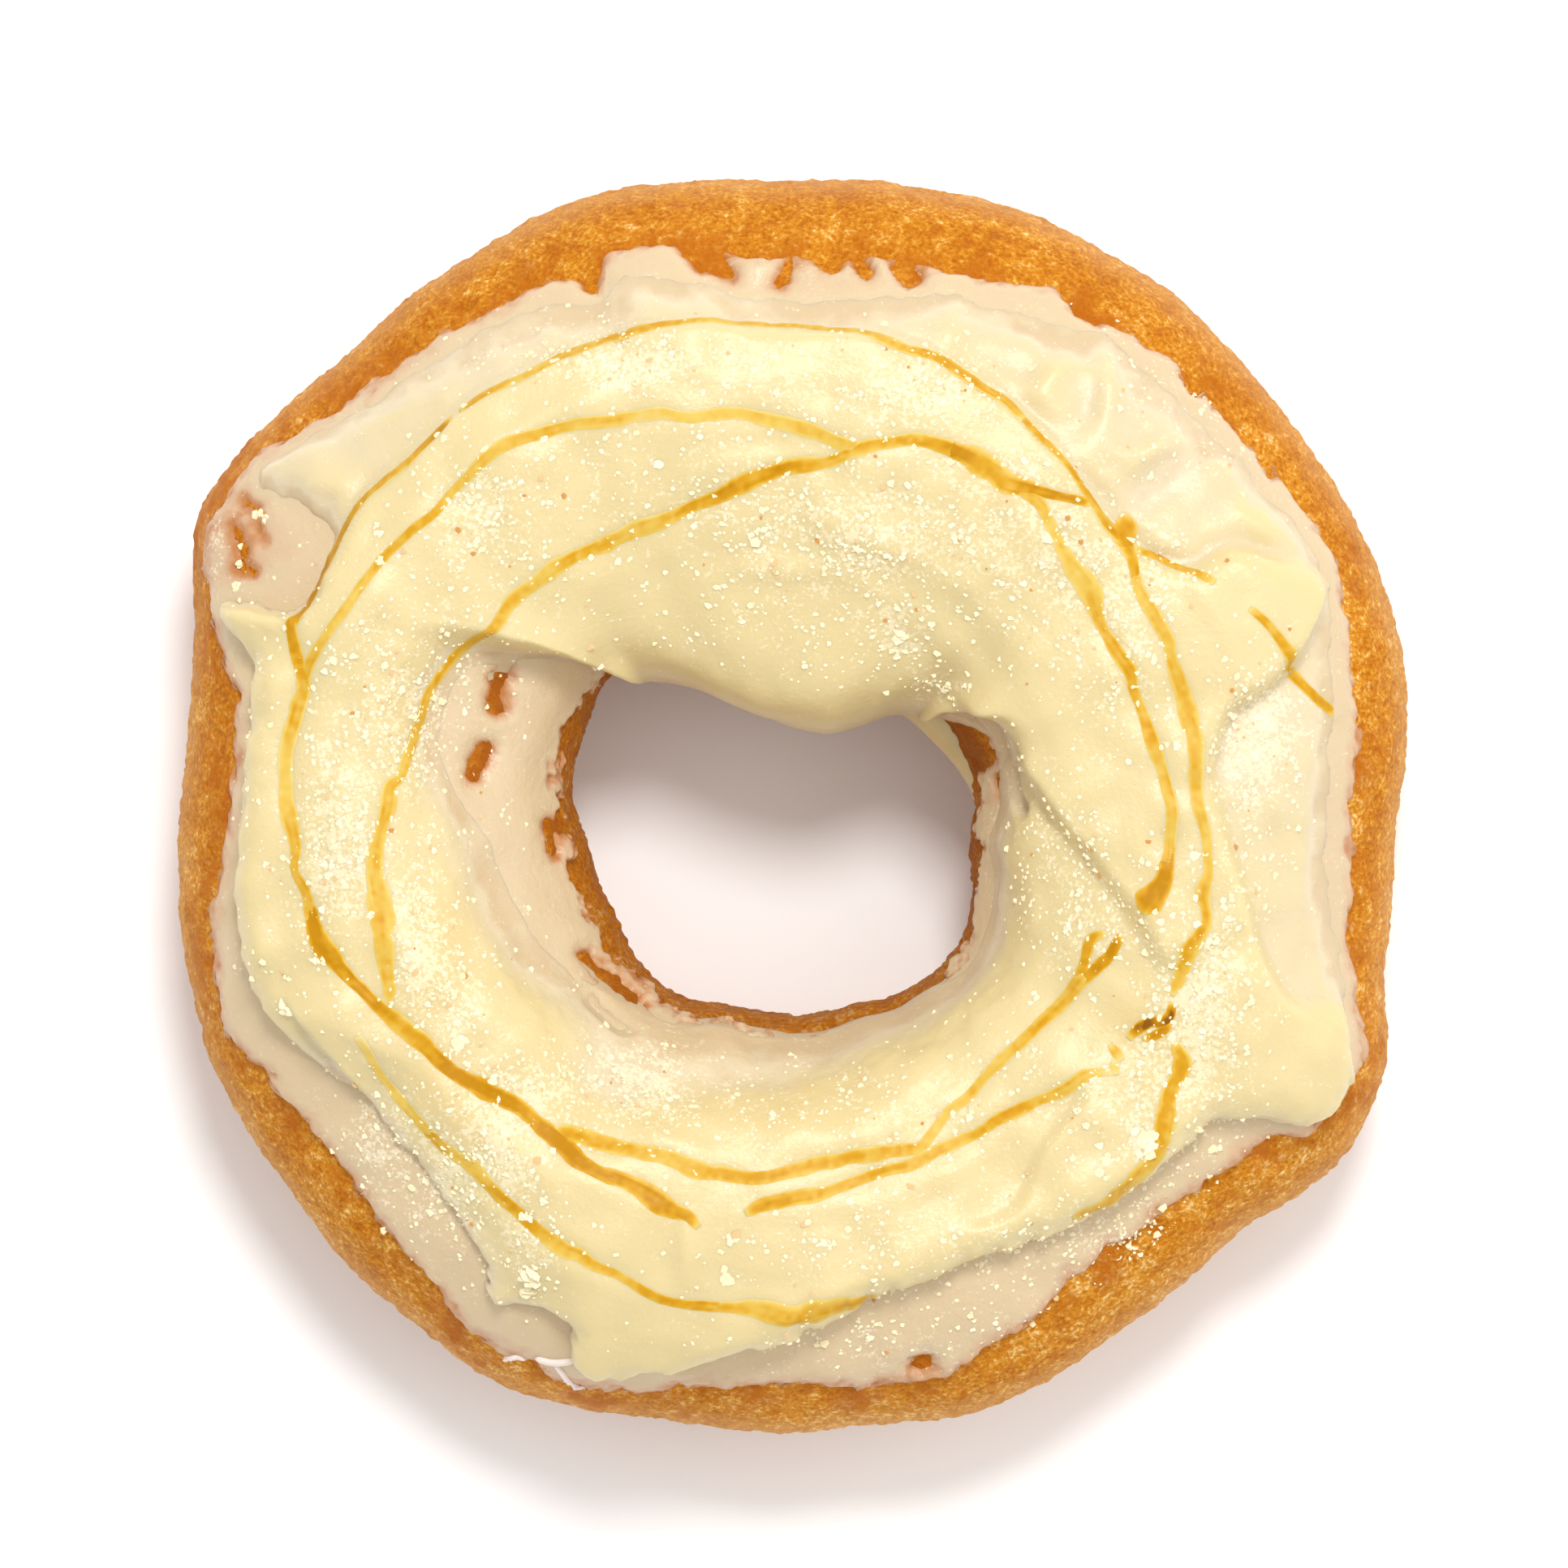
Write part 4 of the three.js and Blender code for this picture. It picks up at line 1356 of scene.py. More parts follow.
# Caramel strands over the icing
STRANDS: tuple[Strand, ...] = (
    # the outer turn, from the left over the top to the lower right
    Strand(0.6, (
        (-38.6, 13.5, 0.4), (-38.1, 14.8, 0.4), (-37.1, 17.4, 0.45), (-35.8, 20, 0.45), (-34.5, 22, 0.45),
        (-33.6, 23.5, 0.5), (-32, 24.8, 0.5), (-30, 26.2, 0.4), (-28.8, 27.5, 0.3), (-27.6, 28.8, 0.3),
        (-26.6, 30, 0.2))),
    Strand(0.42, (
        (-25.9, 30.4, 0.2), (-23.3, 32, 0.25), (-20.7, 33.1, 0.35), (-18.2, 34.6, 0.5), (-16, 35.4, 0.5),
        (-12.6, 36.6, 0.6), (-10.4, 37, 0.5), (-8.1, 37.3, 0.45), (-5.9, 37.5, 0.4), (-3.6, 37.5, 0.4),
        (-1.4, 37.3, 0.3), (0.9, 37.3, 0.25), (3.1, 37, 0.25), (5.4, 36.6, 0.3), (7, 36, 0.6),
        (8.4, 35.3, 0.5), (10.1, 34.9, 0.7), (11.8, 34.1, 0.6), (13.6, 32.9, 0.6), (15, 31.9, 0.6),
        (16.4, 31, 0.8), (17.8, 29.6, 0.4))),
    Strand(0.58, (
        (17.4, 30, 0.3), (19.2, 28.2, 0.22), (20.6, 26.7, 0.22), (21.8, 25.3, 0.22), (22.9, 23.6, 0.25),
        (24, 21.9, 0.35), (24.9, 20.9, 0.5), (25.6, 20.2, 0.8), (26, 19.2, 0.5), (26.3, 17.7, 0.35),
        (26.7, 16.3, 0.5), (27.4, 15, 0.4))),
    Strand(0.41, (
        (26.2, 18.2, 0.3), (26.7, 16.3, 0.6), (27.7, 14.6, 0.8), (28.7, 12.6, 0.8), (28.9, 11.5, 0.5),
        (29.4, 9.8, 0.9), (30.2, 7.9, 1.3), (30.5, 6.3, 1.2), (30.8, 5.5, 0.9), (31, 3.1, 0.7),
        (31, 0.9, 0.7), (31.4, -1.2, 0.5), (31.7, -3.6, 0.35), (31.8, -5.4, 0.5), (31.4, -6.9, 0.9),
        (31.7, -9, 0.5), (30.9, -10.5, 0.9), (30.3, -11.7, 1), (29.6, -13.6, 0.6), (29, -14.8, 0.4))),
    Strand(0.9, ((25.9, 22.5, 0.5), (25.7, 21.6, 1.5), (25.6, 20.6, 1.3), (26, 19.3, 0.5))),
    Strand(0.5, (
        (26.2, 19.8, 0.2), (28.2, 19.1, 0.2), (29.6, 18.4, 0.2), (30.8, 18, 0.25), (32.4, 17, 0.2))),
    Strand(0.38, (
        (29.4, -18.3, 0.5), (29.5, -18.9, 0.7), (29.9, -20.3, 0.9), (28.9, -22, 0.6), (28.6, -23.8, 1),
        (28.4, -25, 1.2), (28, -26.8, 1), (26.8, -28.3, 1.2), (25.3, -29.8, 1.2), (23.8, -31, 1),
        (21.4, -32, 0.5))),
    # the second turn
    Strand(0.4, (
        (-37.9, 8.6, 0.6), (-37.6, 9.7, 0.6), (-36.8, 11.6, 0.5), (-35.2, 13.9, 0.35), (-33.6, 16.1, 0.3),
        (-31.7, 18.7, 0.28), (-29.7, 20.6, 0.28), (-27.8, 22.2, 0.3), (-26.2, 24, 0.3), (-24.6, 25.6, 0.4),
        (-23.3, 26.9, 0.55), (-21.7, 27.8, 0.5), (-19.5, 28.5, 0.45), (-16.9, 29.1, 0.5), (-14.3, 29.4, 0.8),
        (-12.3, 29.7, 0.8), (-10.4, 30, 0.7), (-8.1, 29.8, 0.6), (-5.9, 30, 0.8), (-3.9, 30, 0.8),
        (-2, 29.5, 0.9), (0, 29.1, 0.8), (2, 28.5, 0.6), (3.7, 27.7, 0.9), (5.4, 27.3, 0.9))),
    # the inner turn, with its pool at the upper right
    Strand(0.42, (
        (-31.6, -15.4, 0.4), (-31.1, -14.5, 0.6), (-31.3, -13.1, 0.6), (-31.4, -12, 0.8), (-31.6, -10.2, 1.1),
        (-31.8, -8.4, 1.4), (-32.2, -6.3, 1.4), (-32.2, -4.2, 1.2), (-31.8, -2.1, 0.7), (-31.3, -0.3, 1),
        (-31.1, 1.3, 0.8), (-30.3, 2.1, 0.5), (-29.6, 3.9, 0.6))),
    Strand(0.46, (
        (-30.6, 1.6, 0.4), (-29.6, 3.9, 0.6), (-28.8, 6, 0.5), (-27.8, 8.4, 0.5), (-26.2, 10.5, 0.5),
        (-24.6, 12.3, 0.4), (-23, 13.9, 0.4), (-21.7, 15.8, 0.45), (-20.1, 17.1, 0.5), (-18.5, 18.2, 0.9),
        (-16.9, 19, 0.7), (-14.3, 20.1, 0.8), (-12.6, 21, 0.9), (-10.4, 21.9, 0.8), (-8.1, 22.8, 0.8),
        (-6.2, 23.5, 0.8), (-4.2, 24.6, 0.8), (-2, 25.5, 0.8), (0.3, 26, 0.7), (2.5, 26.2, 0.6),
        (4.2, 26.9, 0.7), (5.4, 27.4, 0.9), (7.3, 27.8, 0.7), (9.3, 28, 0.7), (11, 27.7, 0.7),
        (12.8, 27, 0.9), (13.8, 26.5, 0.8))),
    Strand(0.75, (
        (11.2, 27.7, 0.5), (12.8, 27, 1.1), (13.8, 26.5, 1.6), (14.7, 26, 1.8), (15.6, 25.3, 1.6),
        (16.4, 24.7, 1.3), (18.1, 24.2, 0.9), (19.8, 23.9, 0.5), (21.5, 23.5, 0.45), (23, 23.2, 0.3))),
    Strand(0.47, (
        (16.9, 24.6, 0.8), (18.2, 23.8, 0.8), (19, 23, 0.7), (19.5, 21.9, 0.8), (20.4, 20.2, 0.8),
        (21.3, 18.6, 1.2), (22.4, 16.9, 2.0), (23.2, 15.2, 1.4), (23.8, 13.5, 0.6), (24.6, 12.1, 1.1),
        (25.8, 10.3, 1), (26.1, 8.8, 0.6), (27, 6.7, 0.5), (27.9, 4.3, 0.8), (28.5, 2.5, 0.5), (29, 0, 0.6),
        (29.1, -2.1, 0.6), (28.8, -4.5, 0.9), (28.5, -5.6, 0.9))),
    Strand(0.68, (
        (29.2, -1.2, 0.4), (28.9, -4, 0.8), (28.4, -6, 1.3), (27.6, -7.5, 1.8), (26.9, -8.5, 1.1))),
    # the left side and the long strand along the lower left
    Strand(0.5, (
        (-38.1, 15.2, 0.3), (-38.6, 13.5, 0.45), (-38.2, 11.3, 0.6), (-37.7, 9.2, 0.7), (-37.9, 8.1, 0.8),
        (-38.4, 6.3, 0.8), (-39, 4.2, 0.8), (-39.1, 2.1, 0.8), (-39, 0.3, 0.8), (-38.6, -1.8, 0.7),
        (-38.3, -3.7, 0.6), (-38.3, -5.2, 0.4), (-37.6, -6.8, 0.45), (-37.3, -8.1, 0.6), (-36.8, -9.7, 0.8),
        (-36.1, -11, 0.8))),
    Strand(0.78, (
        (-37.5, -7.2, 0.4), (-36.8, -9.8, 0.9), (-36.1, -11.1, 1.1), (-35.1, -12.2, 0.7), (-34, -13.6, 0.45),
        (-33, -14.6, 0.55), (-31.8, -15.7, 0.9), (-30.7, -16.7, 1.2), (-29.3, -17.7, 1.3),
        (-28.2, -18.7, 1.1), (-26.8, -20.1, 0.8), (-25.4, -21.2, 1.1), (-24, -22, 1.5), (-22.6, -22.6, 1.1),
        (-20.9, -23.5, 0.9), (-19.2, -24.9, 0.9), (-17.8, -26.1, 1), (-16.3, -27.6, 0.9), (-14.6, -28.6, 0.7),
        (-12.9, -29.2, 0.6))),
    Strand(0.6, (
        (-15.8, -28, 0.5), (-12.9, -29.2, 0.8), (-11.5, -29.9, 1.3), (-10.4, -30.6, 1.6), (-9.3, -31.3, 1.1),
        (-8.2, -31.7, 0.7), (-7.3, -32.6, 0.4))),
    # its upper branch, which runs on to the right
    Strand(0.42, (
        (-18.6, -25.2, 0.6), (-16.9, -25.4, 0.9), (-15.2, -26, 0.9), (-12.9, -26.5, 0.8), (-10.7, -27, 0.8),
        (-9, -27.5, 0.9), (-7.3, -28.2, 1), (-5.3, -28.6, 0.9), (-2.8, -28.8, 0.7), (-0.6, -28.4, 0.7),
        (1.7, -27.8, 0.8), (3.9, -27.4, 0.8), (6.2, -27, 0.8), (8.4, -26.6, 0.7), (9.6, -26.4, 0.5),
        (10.7, -25.3, 0.4), (12, -23.8, 0.35), (13.5, -22.6, 0.4), (15, -20.7, 0.35), (16.5, -19.2, 0.4),
        (18, -18, 0.45), (19.5, -16.5, 0.55), (21.1, -14.9, 0.7), (22, -13.7, 0.9), (22.6, -13, 0.6))),
    Strand(0.48, ((21.9, -14, 0.5), (22.4, -12, 0.4), (22.9, -10.5, 0.4), (24, -10, 0.3))),
    Strand(0.55, ((21.9, -14, 0.5), (23.2, -12.8, 0.5), (24.3, -11.8, 0.45), (25.2, -10.1, 0.4))),
    Strand(0.46, (
        (-3.8, -31.5, 0.5), (-2.3, -30.8, 0.8), (0, -30.3, 0.8), (2.2, -29.9, 0.8), (4.5, -29.1, 0.5),
        (6.7, -28.4, 0.55), (9, -27.7, 0.6), (10.8, -26.8, 0.6), (12.6, -26, 0.6), (14.1, -25.4, 0.45),
        (15.6, -24.5, 0.8), (16.8, -23.9, 1.1), (18.6, -22.9, 0.55), (20.1, -22.4, 0.7), (21.4, -21.7, 0.8),
        (22.3, -21.1, 0.9), (23.2, -20.8, 0.35), (24.6, -20.7, 0.25))),
    # along the torn edge and the bottom
    Strand(0.28, (
        (-33.4, -17.8, 0.3), (-32.6, -19.3, 0.4), (-31.9, -20.9, 0.5), (-30.7, -22.6, 0.5),
        (-29.3, -24.3, 0.5), (-27.6, -26, 0.5))),
    Strand(0.5, (
        (-29, -24.8, 0.25), (-27.6, -26, 0.55), (-26, -27.1, 0.75), (-24.6, -28, 0.9), (-23.4, -29.4, 0.7),
        (-22, -30.8, 0.6), (-20.3, -32.3, 0.6), (-18.9, -33.4, 0.8), (-17.5, -34.3, 1), (-16.5, -34.7, 0.8),
        (-15.5, -35.4, 0.5), (-13.8, -36.1, 0.3), (-12.9, -36.7, 0.3), (-11.5, -37.5, 0.4),
        (-10.1, -38.1, 0.35), (-8.4, -38.5, 0.3), (-6.8, -38.6, 0.4), (-5.1, -38.7, 0.35))),
    Strand(0.36, (
        (-6.8, -38.6, 0.35), (-5.1, -38.7, 0.4), (-3.4, -38.7, 0.9), (-2, -38.9, 1.3), (-0.6, -39.2, 1.1),
        (0.8, -39.1, 1.1), (2.2, -38.8, 1.3), (3.9, -38.6, 1.3), (5.3, -38.5, 0.8), (6.7, -38.3, 0.4))),
    # across the flap on the right
    Strand(0.6, (
        (35, 15, 0.15), (36.7, 13.3, 0.2), (37.9, 11.8, 0.5), (38.8, 10.6, 0.9), (40, 9.4, 0.4),
        (41.5, 8.2, 0.5), (43.2, 7.2, 0.8))),
    # the burnt clump at the lower right
    Strand(0.95, (
        (25.7, -18.1, 0.4), (26.5, -17.2, 0.6), (27.5, -16.7, 0.6), (28.3, -16.8, 0.5), (28.9, -16.3, 0.5),
        (29.2, -15.3, 0.4))),
    Strand(0.8, ((26.8, -18.0, 0.3), (27.6, -17.8, 0.4), (28.5, -17.3, 0.4), (28.9, -16.6, 0.3))),
    Strand(0.85, ((24.4, -18.5, 0.4), (24.9, -19.2, 0.7), (25.3, -19.8, 0.4))),
    Strand(0.8, ((24.7, -19.7, 0.4), (24.7, -20.3, 0.5), (24.8, -20.9, 0.4))),
)


@dataclass(frozen=True)
class CreamIcing:
    """The icing: thick inside the swirl, thin outside it, with folds, ridges and a lip over the hole."""

    form: RingForm
    noise: LatticeNoise
    glaze: SugarGlaze
    seen: float
    base: float = 0.85
    steps_round: int = 580
    steps_over: int = 162
    steps_under: int = 8
    swirl: float = 2.9
    spread: float = 1.2
    sunk: float = -1.5
    bottom: float = -2.25
    # Degrees of the section that the icing goes on for past its rims
    skirt: float = 4.0
    inner_skirt: float = 8.0
    last_angle: float = 198.0
    # Bearings over which it goes on to the last angle
    hung: Span = (5.0, 20.0, 125.0, 150.0)
    nominal: float = 3.4
    bond: float = 0.02
    rim_reach: float = 6.0
    swirl_step: float = 0.9
    least: float = 0.25
    crease_depth: float = -0.12
    crease_width: float = 0.8
    # Raggedness of the rims, and the inner rim's share of it
    rag: float = 0.4
    rags: tuple[Wave, ...] = (Wave(1.0, 2.2), Wave(0.7, 0.9, 7.0))
    inner_rag: float = 0.5
    # Torn rim: its bearings, how much calmer the rag is there, its own rag, and how it thins over a width
    torn: Span = (196.0, 206.0, 240.0, 250.0)
    torn_calm: float = 0.5
    torn_rag: Wave = Wave(0.6, 0.7, 5.0)
    torn_thinning: float = 0.55
    torn_width: float = 5.0
    # Spatula streaks, drawn out round the ring, and softer swells
    streak: Wave = Wave(0.1, 1.0)
    streak_round: float = 2.4
    streak_mm: float = 1.3
    swells: tuple[Wave, ...] = (Wave(0.2, 6.5, -3.0), Wave(0.07, 1.8, 3.0))
    # Puckers in the thin sheet, drawn out towards the rim, with their bearings at the right and the left
    pucker: Wave = Wave(2.0, 1.0)
    fine_pucker: Wave = Wave(0.4, 0.45)
    pucker_height: float = 0.48
    pucker_round: float = 11.0
    pucker_mm: float = 7.0
    puckered_right: Span = (16.0, 30.0, 70.0, 84.0)
    puckered_left: Span = (92.0, 100.0, 140.0, 152.0)
    left_share: float = 0.45
    pucker_rise: float = 2.5
    pucker_rim: float = 1.6
    # Where the inner rim hangs, by its angle, and over which angles the body runs into the lip
    hang_dips: Range = (158.0, 176.0)
    lip_angles: Range = (125.0, 172.0)
    # How steeply it sinks past the inner rim where it doesn't hang, and over what it thins by bare strokes
    sink_slope: float = 0.3
    bare_fade: float = 0.8
    # Colour: thickness of full cover, what the smear adds over which angles, and a shift
    full_cover: float = 2.8
    wall_cover: float = 2.0
    wall_blend: float = 6.0
    cover_shift: float = -0.05
    # Caramel soaked in: strength, reach, the widths of strands that soak, and the bell's width and growth
    stain_strength: float = 0.34
    stain_reach: float = 4.0
    stain_widths: Range = (0.2, 1.1)
    stain_bell: float = 0.5
    stain_growth: float = 0.7
    outer_rise: Curve = around_ring(
        (0, 3.4), (18, 2.4), (26, 2.4), (40, 4.0), (75, 4.2), (95, 4.2), (120, 4.6), (132, 3.0), (140, 2.2),
        (155, 2.0), (165, 3.6), (190, 3.6), (203, 1.2), (240, 1.1), (252, 2.0), (300, 2.6), (328, 2.4),
        (345, 3.0))
    feather: Curve = around_ring(
        (0, 1), (16, 1), (24, 0.5), (45, 1), (120, 1), (134, 0.8), (144, 0.6), (154, 0.3), (162, 0), (335, 0),
        (348, 0.8))
    inner_rise: Curve = around_ring(
        (0, 6), (25, 5), (42, 3.5), (58, 2.4), (112, 2.4), (128, 3), (150, 5), (165, 5), (180, 8), (220, 9),
        (260, 10), (300, 9), (340, 7))
    dip: Curve = around_ring(
        (0, 152), (15, 148), (27, 142), (32, 144), (36, 150), (40, 159), (44, 170), (49, 184), (54, 188),
        (95, 188), (112, 186), (124, 180), (132, 160), (140, 134), (150, 113), (163, 108), (180, 122),
        (200, 127), (210, 134), (225, 142), (250, 148), (285, 150), (320, 151))
    # Thickness of the lip over the hole
    lip: Curve = around_ring(
        (0, 0.3), (30, 0.5), (45, 0.6), (50, 0.8), (57, 1.9), (63, 2.6), (68, 2.85), (83, 2.95), (95, 2.8),
        (109, 2.55), (117, 1.8), (124, 1.1), (134, 0.7), (150, 0.6))
    # Roll of icing above the lip: how much thicker it is, and the angles of its middle and its width
    roll: Curve = around_ring(
        (0, 0), (40, 0), (58, 1.5), (72, 2.9), (100, 3.1), (115, 2.5), (132, 0.6), (145, 0))
    roll_angle: float = 150.0
    roll_width: float = 18.0
    # A smear on the wall of the hole: bearings, angles, thickness and the width of its round edge
    smear_bearings: Range = (9.0, 53.0)
    smear_taper: float = 32.0
    smear_angles: Range = (168.0, 192.0)
    smear_thickness: float = 0.7
    smear_edge: float = 1.4
    rim: Plan = (
        (42.4, -2.3), (42.5, 4.3), (42.6, 9), (42.4, 13), (42.4, 16.6), (41.2, 19.6), (39.9, 22.2),
        (37.2, 25), (34.4, 28.2), (31.4, 31), (28.5, 33.6), (25.2, 37), (22, 37.1), (19.3, 38.9),
        (15.2, 39.4), (10, 40.3), (3, 39.6), (-3, 39.6), (-8, 41.2), (-13, 41.8), (-15.4, 39.4), (-19, 39.8),
        (-24.9, 37.2), (-31.3, 33.4), (-35, 31), (-39, 29.2), (-42.2, 27.6), (-42.9, 26.2), (-41, 24.8),
        (-38, 23.4), (-35.9, 21.6), (-36.6, 18.6), (-38.2, 15.9), (-40.5, 15.3), (-43, 15.7), (-45.2, 16.2),
        (-44.6, 13.6), (-42.8, 12), (-42.4, 9), (-42.8, 4), (-43.3, -2), (-43.9, -7), (-43.3, -11.5),
        (-42.2, -14.8), (-40.3, -17.7), (-38, -20), (-36, -21.6), (-34.2, -22.2), (-32, -24.5), (-30, -27.2),
        (-28.3, -29.4), (-26.8, -31.7), (-25.3, -34), (-24, -36.6), (-23.7, -39.3), (-21.5, -39.4),
        (-19, -39.8), (-17.3, -40.4), (-17.5, -42.6), (-16.6, -44.4), (-14.5, -45), (-11.8, -44.6),
        (-9, -44.6), (-6.5, -43.6), (-3, -42.6), (0.5, -41.3), (4, -39.6), (8, -37.7), (14, -35.6),
        (20, -33.3), (25, -31), (29, -28), (32, -24.9), (34, -24.3), (36.5, -24.5), (38.5, -25),
        (40.5, -25.1), (42.8, -23.4), (44.2, -20.8), (44.3, -17.5), (43.8, -13), (42.9, -9), (42.5, -5.5))
    swirl_rim: Plan = (
        (-38.2, 15), (-36.5, 18.5), (-33, 24), (-28, 28.5), (-24, 32), (-20, 33.8), (-15, 36), (-10, 37.1),
        (-5, 37.7), (0, 37.1), (6, 36.5), (10, 35), (14, 33), (18, 29.8), (20.5, 27), (23, 23.5),
        (26.2, 19.5), (30.5, 18.3), (34, 20), (38, 19.2), (44, 18), (42, 16.5), (39.5, 12), (36.5, 9),
        (34, 7.5), (32.6, 5), (32.3, 1), (34.5, -6), (37, -13), (40, -16), (50, -18), (40, -50), (-40, -50),
        (-52, -10), (-50, 14))
    thin: tuple[Patch, ...] = (Patch(-13, -20.5, 5.5, 4.5, 0.75), Patch(-4, -20, 6, 2.5, 0.4))
    # Places where the icing lets the glaze tint it
    sheer: tuple[Patch, ...] = (
        Patch(-26, 34, 8, 3, 0.6), Patch(-16, 38.5, 6, 2, 0.5), Patch(-36, 28, 5, 3, 0.35),
        Patch(0, 39, 9, 1.8, 0.55), Patch(42.5, 0, 2.5, 9, 0.5), Patch(28, 30, 8, 6, 0.65))
    # Places that biscuit crumb has coloured
    crumbed: tuple[Patch, ...] = (
        Patch(-27, -14, 2.5, 7, 0.22), Patch(-23, -22.5, 5, 3.5, 0.22), Patch(27, -18.5, 3.5, 3, 0.3),
        Patch(-29.5, 6, 2, 4, 0.15), Patch(12, 31, 5, 3, 0.15), Patch(0, -26, 16, 5, 0.12))
    folds: tuple[Fold, ...] = (
        # the start of the spiral
        Fold(1.0, 0.35, 2.0, 8.0, (
            (12.5, 8.2), (15.5, 5.8), (18, 2.6), (20.5, -1.2), (24.3, -6), (26.8, -9.4), (29.2, -14))),
        Fold(0.8, 0.3, 2.4, 6.0, ((11, 8.4), (13, 7.6), (15.5, 5.8), (18, 2.6), (21.5, -2.6))),
        # lower edge of the bulge on the left of the hole
        Fold(1.0, 0.4, 1.4, 6.0, ((-25.2, 13.2), (-22.5, 11.8), (-19, 10.2), (-15, 9.4))),
        # the upper sheet over the torn lip
        Fold(0.8, 0.6, 0.9, 4.0, ((-39.5, -14.6), (-37.4, -17.9), (-35.5, -20.3), (-33.2, -23.4))),
        # lower edge of the flap on the right
        Fold(0.6, 0.5, 0.9, 5.0, (
            (31.6, 0.5), (33, 5.5), (34, 7.5), (36.5, 9), (38.7, 11), (39.8, 12.6), (42.2, 17.6))),
        # right-hand crease
        Fold(0.3, 0.3, 1.6, 4.5, ((40.5, -16.2), (37, -13), (34.5, -6), (32.4, 2))),
        # inner edge of the roll at the lower right
        Fold(0.4, 0.3, 1.2, 5.0, (
            (23.5, -21.5), (20, -25.5), (18.7, -27.5), (18, -29.5), (16.5, -31.5), (12, -33))),
    )
    ridges: tuple[Ridge, ...] = (
        Ridge(0.55, 1.9, (
            (-10, -42.6), (-3, -40.4), (3, -38), (10, -34.9), (18, -31.6), (25, -28.4), (31, -24))),
        Ridge(0.6, 1.7, ((-24.5, 12), (-26, 5), (-25.5, 0), (-24, -8), (-22.5, -12), (-19, -18))),
        Ridge(0.3, 1.0, ((-22.5, 4), (-22, -3), (-20, -9), (-17, -14))),
        Ridge(0.4, 1.5, ((0, 21.8), (3, 21.5), (7, 19.7), (10, 18.6), (14, 16.3), (20, 10))),
        Ridge(0.2, 1.2, ((-5, 18.6), (3, 18), (9, 15.6), (14, 12))),
        Ridge(0.9, 1.9, ((-40.6, 12), (-41.4, 4), (-41.8, -3), (-41.6, -9), (-40, -14))),
        Ridge(0.7, 0.9, ((-45.6, 15.9), (-43, 15), (-41, 14.5), (-38, 13.2))),
        Ridge(0.4, 0.8, ((-8.2, -30.5), (-8.2, -34), (-8.4, -38.5))),
        Ridge(0.6, 1.0, ((23.5, 37.5), (21, 34.5), (18, 31))),
        Ridge(0.6, 0.9, ((25.2, 38), (24.6, 33), (24, 28.5))),
        Ridge(0.5, 0.9, ((33, 29), (28, 27.6), (23.5, 26.4))),
        Ridge(0.6, 1.1, ((32.5, 28.5), (35, 24.5), (37.8, 20))),
        Ridge(-0.7, 0.9, ((26, 19.6), (30.5, 18.3), (34, 20), (38, 19), (42, 17.2))),
        Ridge(0.5, 1.0, ((0.2, 8.2), (1.7, 7.9), (3.2, 7.6))),
        Ridge(0.35, 1.4, ((-31, -18), (-27, -22.5), (-22, -26.5), (-17, -30))),
        Ridge(0.35, 1.6, ((-37, 8), (-35, 13.5), (-31, 19.5), (-26, 25), (-20, 28.9), (-12, 31))),
    )

    def relief(self, x: Array, y: Array) -> Array:
        """Height of the folds and ridges, and of the creases under the strands, added together.

        Args:
            x: Plan coordinates.
            y: Plan coordinates.

        Returns:
            Heights in millimetres.
        """
        creases = [Ridge(self.crease_depth, self.crease_width, strand.path) for strand in STRANDS]
        total = np.zeros(x.shape)
        for form in (*self.folds, *self.ridges, *creases):
            total += form.relief(x, y, self.seen)
        return total

    def puckers(self, bearing: Array, radius: Array, outside: Array) -> Array:
        """Height of the puckers in the thin sheet outside the swirl: sharp-topped noise drawn out to the rim.

        Args:
            bearing: Degrees round the ring.
            radius: Millimetres from the ring's centre.
            outside: Distance outside the swirl.

        Returns:
            Heights in millimetres.
        """
        turn = np.radians(bearing)
        around = self.pucker_round * np.stack([np.cos(turn), np.sin(turn)])
        drawn = np.stack([*around, radius / self.pucker_mm], -1)
        ridged = 1.0 - np.abs(self.noise.waves(drawn, self.pucker))
        ridged = ridged + self.noise.waves(drawn, self.fine_pucker)
        where = between(bearing, self.puckered_right) + self.left_share * between(bearing, self.puckered_left)
        return self.pucker_height * ridged * where * ease(outside, 0.0, self.pucker_rise)

    def smear(self, bearing: Array, angle: Array, rag: Array) -> Array:
        """Thickness of the smear on the hole's wall, rounded at its edges and below zero outside it.

        Args:
            bearing: Degrees round the ring.
            angle: Degrees on the section.
            rag: Unevenness of the edges.

        Returns:
            Thicknesses in millimetres.
        """
        per_degree = math.radians(self.form.equator_height)
        along = np.minimum(bearing - self.smear_bearings[0], self.smear_bearings[1] - bearing) * per_degree
        across = np.minimum(angle - self.smear_angles[0], self.smear_angles[1] - angle) * per_degree
        inside = np.minimum(along, across) + self.rag * rag
        taper = ease(bearing, self.smear_bearings[0], self.smear_bearings[0] + self.smear_taper)
        height = (self.base + self.smear_thickness) * taper * shoulder(inside / self.smear_edge)
        return np.where(inside > 0.0, height, np.maximum(inside, self.sunk)) - self.base

